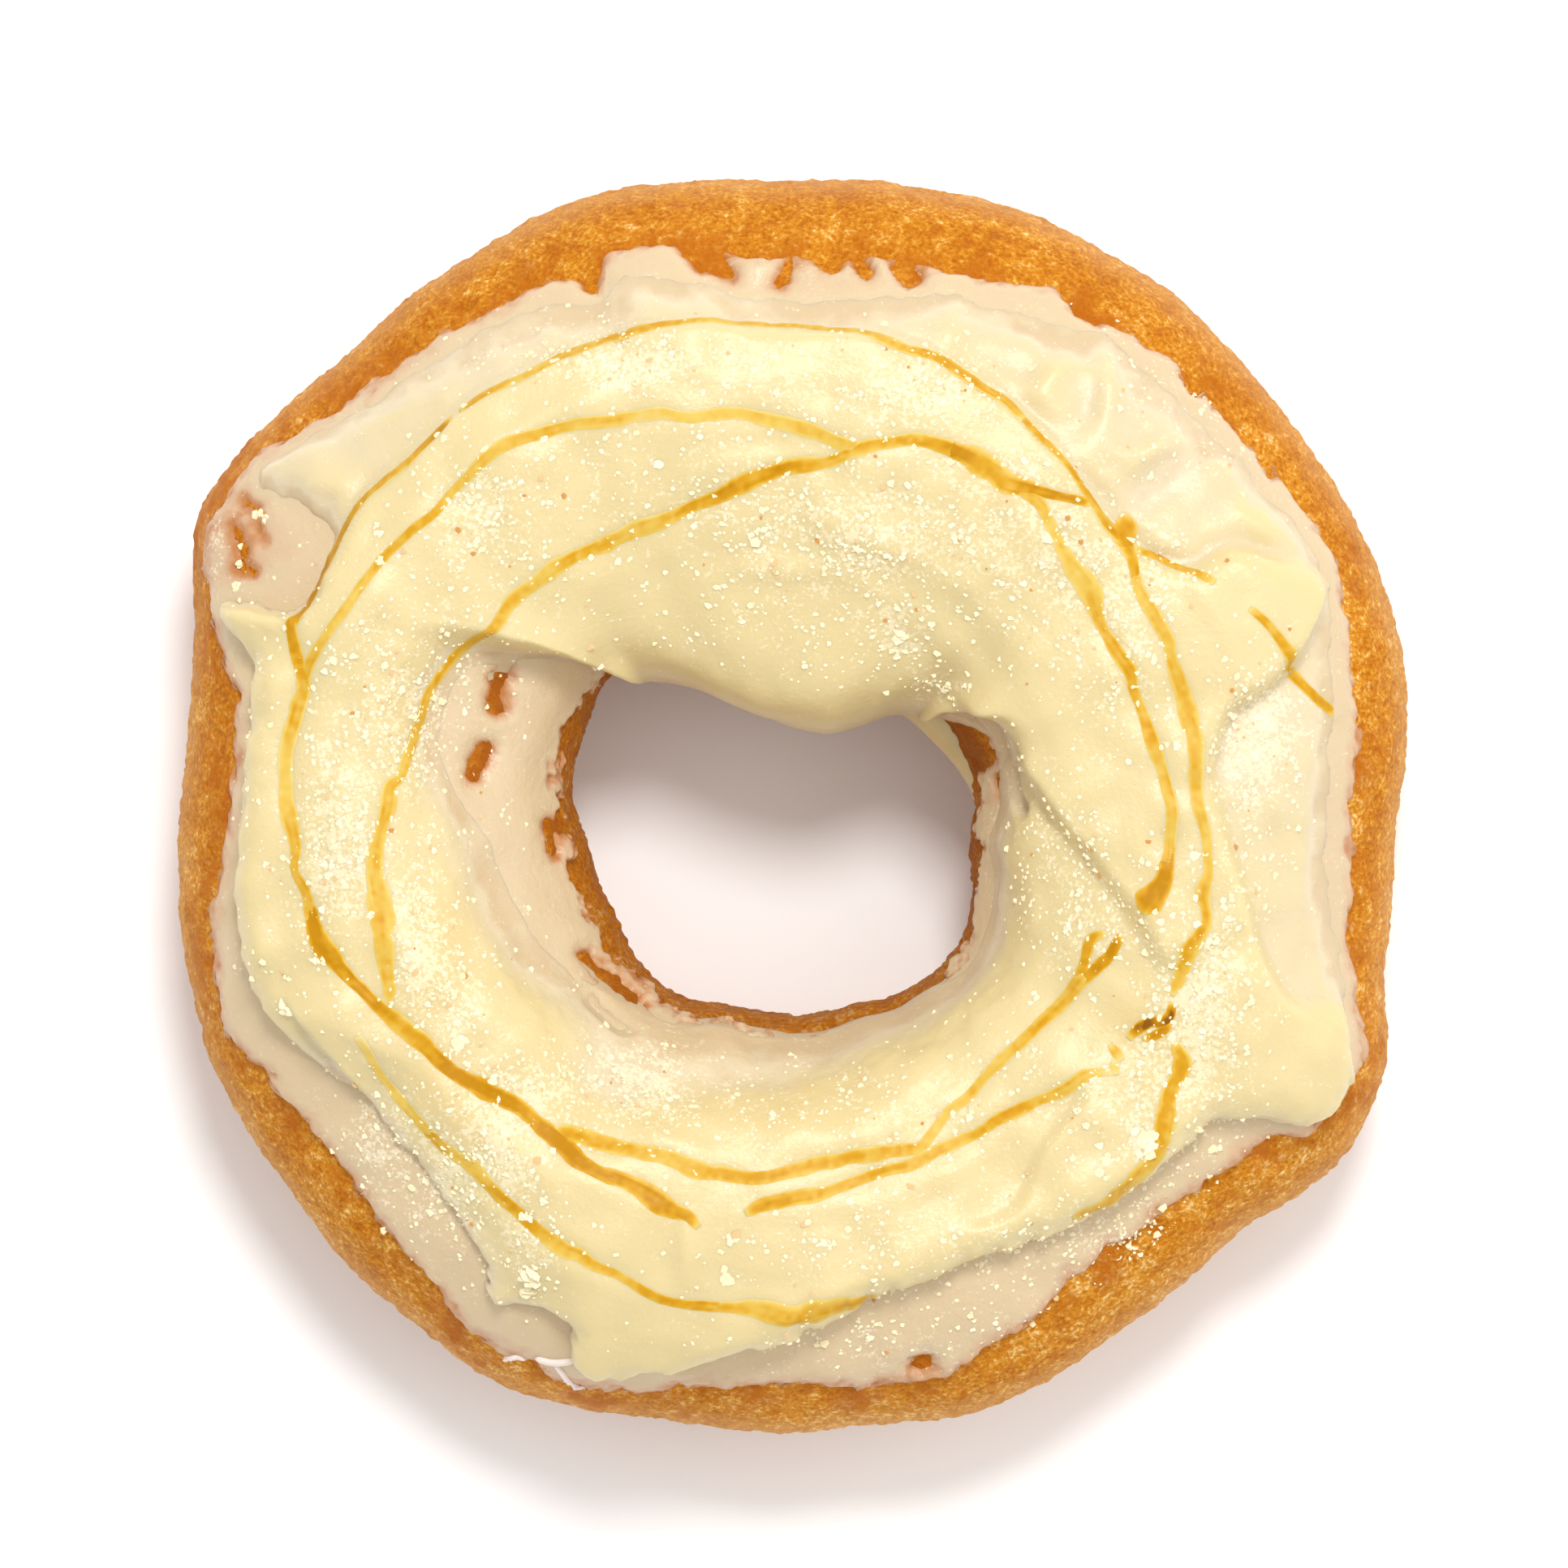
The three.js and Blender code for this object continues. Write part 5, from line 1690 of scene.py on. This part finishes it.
    def thickness(self, bearing: Array, angle: Array) -> Array:
        """Thickness of the icing over the glaze, below zero past its rims.

        The body is thick inside the swirl and thin outside it, with the relief and the spatula's streaks
        added. It rises from the outer rim by a quarter ellipse, feathers towards the hole, and hangs as a
        round lip above it.

        Args:
            bearing: Degrees round the ring, from 0 to 360.
            angle: Degrees on the section.

        Returns:
            Thicknesses in millimetres.
        """
        places = self.form.points(bearing, angle, self.nominal)
        x = places[..., 0]
        y = places[..., 1]
        radius = np.hypot(x - self.form.centre[0], y - self.form.centre[1])
        _, half, rise = self.form.section(bearing)
        torn = between(bearing, self.torn)
        rag = self.noise.waves(places, *self.rags) * (1.0 - self.torn_calm * torn)
        rag = rag + torn * self.noise.waves(places, self.torn_rag)
        rim = Route(np.array(self.rim) * self.glaze.seen, closed=True)
        from_rim = rim.inside_distance(x, y, self.rim_reach) + self.rag * rag
        swirl_rim = Route(np.array(self.swirl_rim) * self.seen, closed=True)
        in_swirl = swirl_rim.inside_distance(x, y, self.rim_reach)
        step = ease(in_swirl, -self.swirl_step, self.swirl_step)
        body = self.spread + (self.swirl - self.spread) * step
        body = body * (1.0 - covered(self.thin, places, self.seen))
        body = body * (1.0 - self.torn_thinning * torn * (1.0 - ease(from_rim, 0.0, self.torn_width)))
        turn = np.radians(bearing)
        around = self.streak_round * np.stack([np.cos(turn), np.sin(turn)])
        streaks = np.stack([*around, radius / self.streak_mm], -1)
        body = body + self.relief(x, y) + self.noise.waves(streaks, self.streak)
        body = body + self.noise.waves(places, *self.swells)
        hang = ease(self.dip(bearing), *self.hang_dips)
        body = body + (self.lip(bearing) - body) * hang * ease(angle, *self.lip_angles)
        body = body + self.roll(bearing) * np.exp(-(((angle - self.roll_angle) / self.roll_width) ** 2))
        from_dip = np.radians(self.dip(bearing) - angle) * (half + rise) / 2.0
        from_dip = from_dip + self.inner_rag * self.rag * rag
        share = from_dip / self.inner_rise(bearing)
        inner = hang * shoulder(share) + (1.0 - hang) * ease(share, 0.0, 1.0)
        share = from_rim / self.outer_rise(bearing)
        feather = self.feather(bearing)
        outer = (1.0 - feather) * shoulder(share) + feather * ease(share, 0.0, 1.0)
        bare = self.glaze.bare(x, y)
        outer = outer * ease(bare, 0.0, self.bare_fade)
        past = np.minimum(np.minimum(np.where(angle < CROWN, from_rim, 1.0), from_dip), bare)
        slope = np.where(from_dip < from_rim, self.sink_slope + (1.0 - self.sink_slope) * hang, 1.0)
        pucker = self.puckers(bearing, radius, -in_swirl) * ease(from_rim, 0.0, self.pucker_rim)
        raised = np.maximum(body, self.least) * outer * inner + pucker
        spread = np.where(past > 0.0, raised, np.maximum(slope * past, self.sunk))
        return np.maximum(spread, self.smear(bearing, angle, rag))

    def stain(self, x: Array, y: Array) -> Array:
        """How much caramel has soaked in: a bell across each strand, wider than it, the strongest kept.

        Args:
            x: Plan coordinates.
            y: Plan coordinates.

        Returns:
            Numbers from 0 to 1.
        """
        total = np.zeros(x.shape)
        for strand in STRANDS:
            route = Route(np.array(strand.path) * (self.seen, self.seen, 1.0))
            gap, walked = route.field(x, y, self.stain_reach)
            width = np.interp(walked, route.walked, route.marks[:, 2])
            soaked = strand.depth * ease(width, *self.stain_widths)
            bell = np.exp(-((gap / (self.stain_bell + self.stain_growth * width)) ** 2))
            total = np.maximum(total, soaked * bell)
        return total

    def above(self, bearing: Array, angle: Array) -> Array:
        """Height of the icing above the dough's skin."""
        return self.floor(bearing, angle) + self.thickness(np.mod(bearing, FULL_TURN), angle)

    def floor(self, bearing: Array, angle: Array) -> Array:
        """Height above the dough's skin of the coat that the icing lies on."""
        return self.glaze.coat(self.form.points(bearing, angle, self.glaze.full))[0] + self.bond

    def build(self) -> None:
        """Makes the icing as a closed loop of section: over the top from rim to rim, and back beneath."""
        bearing = np.arange(self.steps_round) * FULL_TURN / self.steps_round
        outer = self.glaze.rim_angle(bearing) - self.skirt
        hung = between(bearing, self.hung)
        inner = (self.dip(bearing) + self.inner_skirt) * (1.0 - hung) + self.last_angle * hung
        angle = outer + (inner - outer) * np.linspace(0.0, 1.0, self.steps_over)[:, None]
        rows = np.broadcast_to(bearing, angle.shape)
        thickness = self.thickness(rows, angle)
        top = self.form.points(rows, angle, self.floor(rows, angle) + thickness)
        under = self.form.underside(bearing, (outer, inner), self.steps_under, self.bottom)
        on_wall = ease(angle, self.smear_angles[0] - self.wall_blend, self.smear_angles[0])
        cover = ease(thickness + self.wall_cover * on_wall, 0.0, self.full_cover)
        cover = cover * (1.0 - covered(self.sheer, top, self.seen)) + self.cover_shift
        stain = self.stain_strength * self.stain(top[..., 0], top[..., 1])
        stain = np.maximum(stain, covered(self.crumbed, top, self.seen))
        values = {"cover": cover, "stain": stain, "dust": covered(POWDER, top, self.seen)}
        piece = grid_object("cream_icing", np.concatenate([top, under]), values)
        finish_piece(piece, SpreadCream().build(), Layer.ICING)


@dataclass(frozen=True)
class Ribbon:
    """A lens-shaped strand laid along plan paths on a surface over the dough."""

    form: RingForm
    noise: LatticeNoise
    ground: Callable[[Array, Array], Array]
    level: float
    scale: float
    crown: float
    margin: float
    step: float = 0.2
    across: int = 13
    # Width: its wobble, the narrowest half and the length of the round tips
    wobble: tuple[Wave, ...] = (Wave(0.4, 4.0), Wave(0.2, 1.3))
    thinnest: float = 0.06
    tip: float = 1.2
    # How the two edges fray and the whole strand sways
    frays: tuple[Wave, Wave] = (Wave(0.3, 1.1, 9.0), Wave(0.3, 1.1, -9.0))
    sway: Wave = Wave(0.12, 2.4, 5.0)
    # Section: a dome of this power, its edge and its underside against the ground
    dome_power: float = 2.5
    edge: float = -0.04
    sunk: float = -0.35
    # Colour: how depth goes with the half width, from the ends and to the edges, and how it varies
    full_halves: Range = (-0.2, 0.3)
    fade: Range = (-0.5, 1.0)
    deepest: float = 0.78
    edge_depth: float = 0.2
    softness: float = 1.5
    patches: Wave = Wave(0.6, 4.5, 2.0)
    lean: Wave = Wave(0.4, 6.0, -5.0)
    streak: Wave = Wave(0.28, 1.0)
    streak_mm: Range = (2.2, 0.25)
    grain: Wave = Wave(0.25, 0.4)

    def lay(self, strand: Strand) -> tuple[Array, Array, Array]:
        """One strand: a low dome over the surface, with edges that fray by noise, and its underside.

        Args:
            strand: The strand.

        Returns:
            Its vertices, its faces and its depth at each vertex, from 0 to 1.
        """
        route = Route(np.array(strand.path) * (self.scale, self.scale, 1.0))
        count = max(self.across, int(route.length / self.step))
        walked = np.linspace(0.0, route.length, count)
        x, y, width = (np.interp(walked, route.walked, route.marks[:, i]) for i in range(3))
        from_end = np.minimum(walked, route.length - walked)
        place = np.stack([x, y, width], -1)
        uneven = 1.0 + self.noise.waves(place, *self.wobble)
        core = (0.5 * width * uneven * shoulder(from_end / self.tip) + self.thinnest)[:, None]
        side = np.linspace(-1.0, 1.0, self.across)[None, :]
        left, right = (1.0 + self.noise.waves(place, fray)[:, None] for fray in self.frays)
        reach = core * side * np.where(side < 0.0, left, right) + self.margin * np.sign(side)
        swayed = reach + self.noise.waves(place, self.sway)[:, None]
        slope_x = np.gradient(x, walked)
        slope_y = np.gradient(y, walked)
        size = np.hypot(slope_x, slope_y)
        plan_x = x[:, None] - (slope_y / size)[:, None] * swayed
        plan_y = y[:, None] + (slope_x / size)[:, None] * swayed
        bearing, angle = self.form.locate(plan_x, plan_y, self.level)
        ground = self.ground(bearing, angle)
        dome = 1.0 - np.abs(side) ** self.dome_power
        rise = self.crown * np.sqrt(core) * dome + self.edge * (1.0 - dome)
        top = self.form.points(bearing, angle, ground + rise)
        low = self.form.points(bearing, angle, ground + self.sunk)[:, ::-1]
        loop = np.concatenate([top, low], axis=1)
        deep = strand.depth * ease(core, *self.full_halves) * ease(from_end, *self.fade)[:, None]
        deep = deep * (1.0 + self.noise.waves(place, self.patches)[:, None])
        leaning = 1.0 + side * self.noise.waves(place, self.lean)[:, None]
        along = walked[:, None] / self.streak_mm[0]
        drawn = np.stack(np.broadcast_arrays(along, reach / self.streak_mm[1], x[:1, None]), -1)
        streak = 1.0 + self.noise.waves(drawn, self.streak)
        soft = self.edge_depth + (1.0 - self.edge_depth) * (1.0 - np.abs(side) ** self.softness)
        plan = np.stack([plan_x, plan_y, np.zeros(plan_x.shape)], -1)
        depth = deep * soft * leaning * streak * (1.0 + self.noise.waves(plan, self.grain))
        depth = np.clip(depth, 0.0, max(self.deepest, strand.depth))
        depth = np.concatenate([depth, np.zeros(depth.shape)], axis=1)
        return loop.reshape(-1, 3), self.sides(*loop.shape[:2]), depth.ravel()

    def sides(self, count: int, ring: int) -> Array:
        """Faces of a strand: a tube of quads along it, and a strip of quads over each end.

        Args:
            count: Sections along the strand.
            ring: Vertices round a section, its upper half first.

        Returns:
            Vertex numbers, one quad a row.
        """
        index = np.arange(count * ring).reshape(count, ring)
        turned = np.roll(index, -1, axis=1)
        tube = np.stack([index[:-1], index[1:], turned[1:], turned[:-1]], -1).reshape(-1, 4)
        ends = []
        for row, flip in ((index[0], 1), (index[-1], -1)):
            upper = row[: self.across]
            lower = row[::-1][: self.across]
            end = np.stack([upper[:-1], upper[1:], lower[1:], lower[:-1]], -1)
            ends.append(end[:, ::flip])
        return np.concatenate([tube, *ends])

    def build(self, name: str, strands: Sequence[Strand], title: str) -> Piece:
        """Joins strands into one object.

        Args:
            name: Name of the object.
            strands: The strands.
            title: Name under which the depth is stored on the vertices.

        Returns:
            The new object.
        """
        vertices = []
        faces = []
        depths = []
        start = 0
        for strand in strands:
            places, corners, depth = self.lay(strand)
            vertices.append(places)
            faces.append(corners + start)
            depths.append(depth)
            start += len(places)
        values = {title: np.concatenate(depths)}
        return mesh_object(name, np.concatenate(vertices), np.concatenate(faces), values)


@dataclass(frozen=True)
class CaramelDrizzle:
    """The caramel strands, laid over the icing with a low round top."""

    form: RingForm
    noise: LatticeNoise
    icing: CreamIcing
    crown: float = 0.09
    margin: float = 0.2

    def build(self) -> None:
        """Lays the strands on the icing."""
        icing = self.icing
        ribbon = Ribbon(
            self.form, self.noise, icing.above, icing.nominal, icing.seen, self.crown, self.margin)
        piece = ribbon.build("caramel_drizzle", STRANDS, "depth")
        finish_piece(piece, CookedCaramel().build(), None)


@dataclass(frozen=True)
class GlazeFlakes:
    """Flakes of dried glaze that stand out from the rim at the lower left."""

    form: RingForm
    noise: LatticeNoise
    glaze: SugarGlaze
    crown: float = 0.6
    margin: float = 0.0
    tip: float = 0.8
    cover: float = 0.5
    tints: Stops = ((0.36, "#b9783f"), (0.66, "#eed8d0"), (1.0, "#f0e0d8"))
    strands: tuple[Strand, ...] = (
        Strand(1.0, (
            (-22.7, -43.4, 0.5), (-22.2, -43.1, 0.5), (-21.5, -42.8, 0.5), (-20.7, -43.2, 0.35))),
        Strand(1.0, ((-19.9, -42.7, 0.4), (-18.8, -42.9, 0.6), (-17.6, -42.9, 0.6), (-16.6, -42.7, 0.4))),
        Strand(1.0, (
            (-18.4, -43.0, 0.5), (-17.8, -44.0, 0.5), (-17.4, -44.9, 0.5), (-16.9, -45.5, 0.5),
            (-16.2, -45.4, 0.35))))

    def surface(self, bearing: Array, angle: Array) -> Array:
        """Height of the glaze above the dough's skin, or of the skin where there is no glaze."""
        return np.maximum(self.glaze.above(bearing, angle)[0], 0.0)

    def build(self) -> None:
        """Lays the flakes on the rim."""
        glaze = self.glaze
        ribbon = Ribbon(
            self.form, self.noise, self.surface, glaze.full, glaze.seen, self.crown, self.margin,
            tip=self.tip)
        piece = ribbon.build("glaze_flakes", self.strands, "cover")
        cover = np.full(len(piece.data.vertices), self.cover, np.float32)
        piece.data.attributes["cover"].data.foreach_set("value", cover)
        finish_piece(piece, SetGlaze("dried_glaze_flake", tints=self.tints).build(), None)


@dataclass(frozen=True)
class PowderDusting:
    """Milk powder dusted in patches over the icing, with a few lumps and biscuit crumbs."""

    form: RingForm
    noise: LatticeNoise
    icing: CreamIcing
    glaze: SugarGlaze
    seed: int = 11
    grains_per_mm2: float = 20.0
    spread: float = 0.7
    loose: int = 1100
    loose_radii: Range = (17.0, 43.0)
    clump_mm: float = 1.3
    clumping: Range = (-0.9, 0.5)
    squash: float = 0.16
    unevenness: Range = (0.55, 1.45)
    raised: float = 0.02
    median: float = 0.28
    variety: float = 0.36
    sizes: Range = (0.16, 0.8)
    biscuit_share: float = 0.01
    # Grains that are part milk and part biscuit
    tan_share: float = 0.05
    tan_shade: float = 0.95
    palest_shades: Range = (0.0, 0.7)
    # Lumps: plan place and size, how many grains make one, and how they lie
    lumps: tuple[tuple[float, float, float], ...] = (
        (-20.3, -36.6, 1.4), (-20.2, -37.4, 1.5), (-20.7, -31.9, 1.1), (-39, -15.9, 1.2), (-25.7, -18.5, 1.2),
        (26.7, -25.6, 1.8), (27.2, -26.3, 1.6), (-31.9, 21.0, 0.9), (8.4, 13.2, 1.2), (-36.6, -11.9, 0.9),
        (24.0, -27.4, 0.9), (11.6, 8.9, 1.0), (-31.8, 18.6, 0.8), (33.4, -27.4, 1.0), (-44.4, 22.8, 1.0),
        (-44.9, 21.2, 0.9), (-45.0, 19.4, 0.8), (-44.8, 17.6, 0.8), (-43.2, 23.7, 0.8), (-42.5, 23.0, 0.7),
        (-4.6, -33.6, 1.1), (-5.2, -36.6, 1.3))
    lump_grains: int = 7
    lump_spread: float = 0.22
    lump_sizes: Range = (0.4, 0.75)
    outer_margin: float = 2.0
    inner_margin: float = 1.0
    fan: int = 5
    ring_height: float = 0.447

    def grain(self) -> tuple[Array, Array]:
        """A ball of radius 1: two poles and two rings of corners, the lower ring half a step on.

        Returns:
            Its corners and its faces, turned outward.
        """
        step = np.arange(self.fan)
        after = (step + 1) % self.fan
        turn = 2.0 * math.pi * np.concatenate([step, step + 0.5]) / self.fan
        height = np.repeat([self.ring_height, -self.ring_height], self.fan)
        wide = math.sqrt(1.0 - self.ring_height**2)
        rings = np.stack([wide * np.cos(turn), wide * np.sin(turn), height], -1)
        corners = np.concatenate([rings, [[0.0, 0.0, 1.0], [0.0, 0.0, -1.0]]])
        low = self.fan
        top = 2 * self.fan
        poles = np.full(self.fan, top)
        faces = [
            (poles, step, after), (step, low + step, after), (after, low + step, low + after),
            (poles + 1, low + after, low + step)]
        return corners, np.concatenate([np.stack(face, -1) for face in faces])

    def scatter(self, draw: np.random.Generator) -> tuple[Array, Array, Array]:
        """Draws the grains' places and sizes: bells over the patches and loose grains, clumped, and lumps.

        Args:
            draw: Seeded random draws.

        Returns:
            x, y and size in millimetres.
        """
        x = []
        y = []
        for patch in POWDER:
            count = int(self.grains_per_mm2 * patch.strength * patch.half_x * patch.half_y)
            x.append(draw.normal(patch.x, patch.half_x * self.spread, count))
            y.append(draw.normal(patch.y, patch.half_y * self.spread, count))
        turn = draw.uniform(0.0, 2.0 * math.pi, self.loose)
        radius = np.sqrt(draw.uniform(self.loose_radii[0] ** 2, self.loose_radii[1] ** 2, self.loose))
        x.append(self.form.centre[0] + radius * np.cos(turn))
        y.append(self.form.centre[1] + radius * np.sin(turn))
        plan = np.stack([np.concatenate(x), np.concatenate(y)], -1)
        clump = self.noise(np.pad(plan, ((0, 0), (0, 1))), self.clump_mm)
        plan = plan[draw.uniform(*self.clumping, len(plan)) < clump]
        size = np.clip(draw.lognormal(math.log(self.median), self.variety, len(plan)), *self.sizes)
        lumps = np.repeat(np.array(self.lumps), self.lump_grains, axis=0)
        around = draw.normal(size=(len(lumps), 2)) * self.lump_spread * lumps[:, 2:]
        plan = np.concatenate([plan, lumps[:, :2] + around])
        size = np.concatenate([size, lumps[:, 2] * draw.uniform(*self.lump_sizes, len(lumps))])
        return plan[:, 0] * self.icing.seen, plan[:, 1] * self.icing.seen, size

    def build(self) -> None:
        """Makes each grain an uneven fleck: a ball turned at random, then flattened, set into the surface."""
        draw = np.random.default_rng(self.seed)
        x, y, size = self.scatter(draw)
        bearing, angle = self.form.locate(x, y, self.icing.nominal)
        radius = np.hypot(x - self.form.centre[0], y - self.form.centre[1])
        on_ring = radius < self.form.ring_radius(bearing) - self.outer_margin
        kept = on_ring & (radius > self.form.hole_radius(bearing) + self.inner_margin)
        bearing = bearing[kept]
        angle = angle[kept]
        size = size[kept]
        ground = np.maximum(self.icing.above(bearing, angle), self.glaze.above(bearing, angle)[0])
        centres = self.form.points(bearing, angle, np.maximum(ground, 0.0) + self.raised)
        corners, sides = self.grain()
        count = len(size)
        uneven = corners * draw.uniform(*self.unevenness, (count, len(corners), 1))
        uneven = uneven * (size / 2.0)[:, None, None]
        spins = np.linalg.qr(draw.normal(size=(count, 3, 3)))[0]
        spins *= np.sign(np.linalg.det(spins))[:, None, None]
        flat = np.array([1.0, 1.0, self.squash])
        grains = np.einsum("nij,nkj->nki", spins, uneven) * flat + centres[:, None, :]
        faces = (sides + len(corners) * np.arange(count)[:, None, None]).reshape(-1, 3)
        lot = draw.uniform(size=count)
        shade = np.where(lot < self.tan_share, self.tan_shade, draw.uniform(*self.palest_shades, count))
        shade = np.where(lot < self.biscuit_share, 1.0, shade)
        values = {"shade": np.repeat(shade, len(corners))}
        piece = mesh_object("milk_powder", grains.reshape(-1, 3), faces, values, smooth=False)
        finish_piece(piece, MilkPowder().build(), None)


def main() -> None:
    """Builds the doughnut from the dough up, then the studio."""
    logging.basicConfig(level=logging.INFO, format="%(name)s: %(message)s")
    form = RingForm()
    noise = LatticeNoise(NOISE_SEED)
    studio = Studio()
    seen_high = studio.seen_scale(form.crown_height + ICING_LEVEL, form.equator_height)
    seen_low = studio.seen_scale(form.crown_height + GLAZE_LEVEL, form.equator_height)
    glaze = SugarGlaze(form, noise, seen_low)
    DoughRing(form, noise, glaze).build()
    glaze.build()
    icing = CreamIcing(form, noise, glaze, seen_high)
    icing.build()
    CaramelDrizzle(form, noise, icing).build()
    GlazeFlakes(form, noise, glaze).build()
    PowderDusting(form, noise, icing, glaze).build()
    studio.build(form.equator_height)


if __name__ == "__main__":
    main()
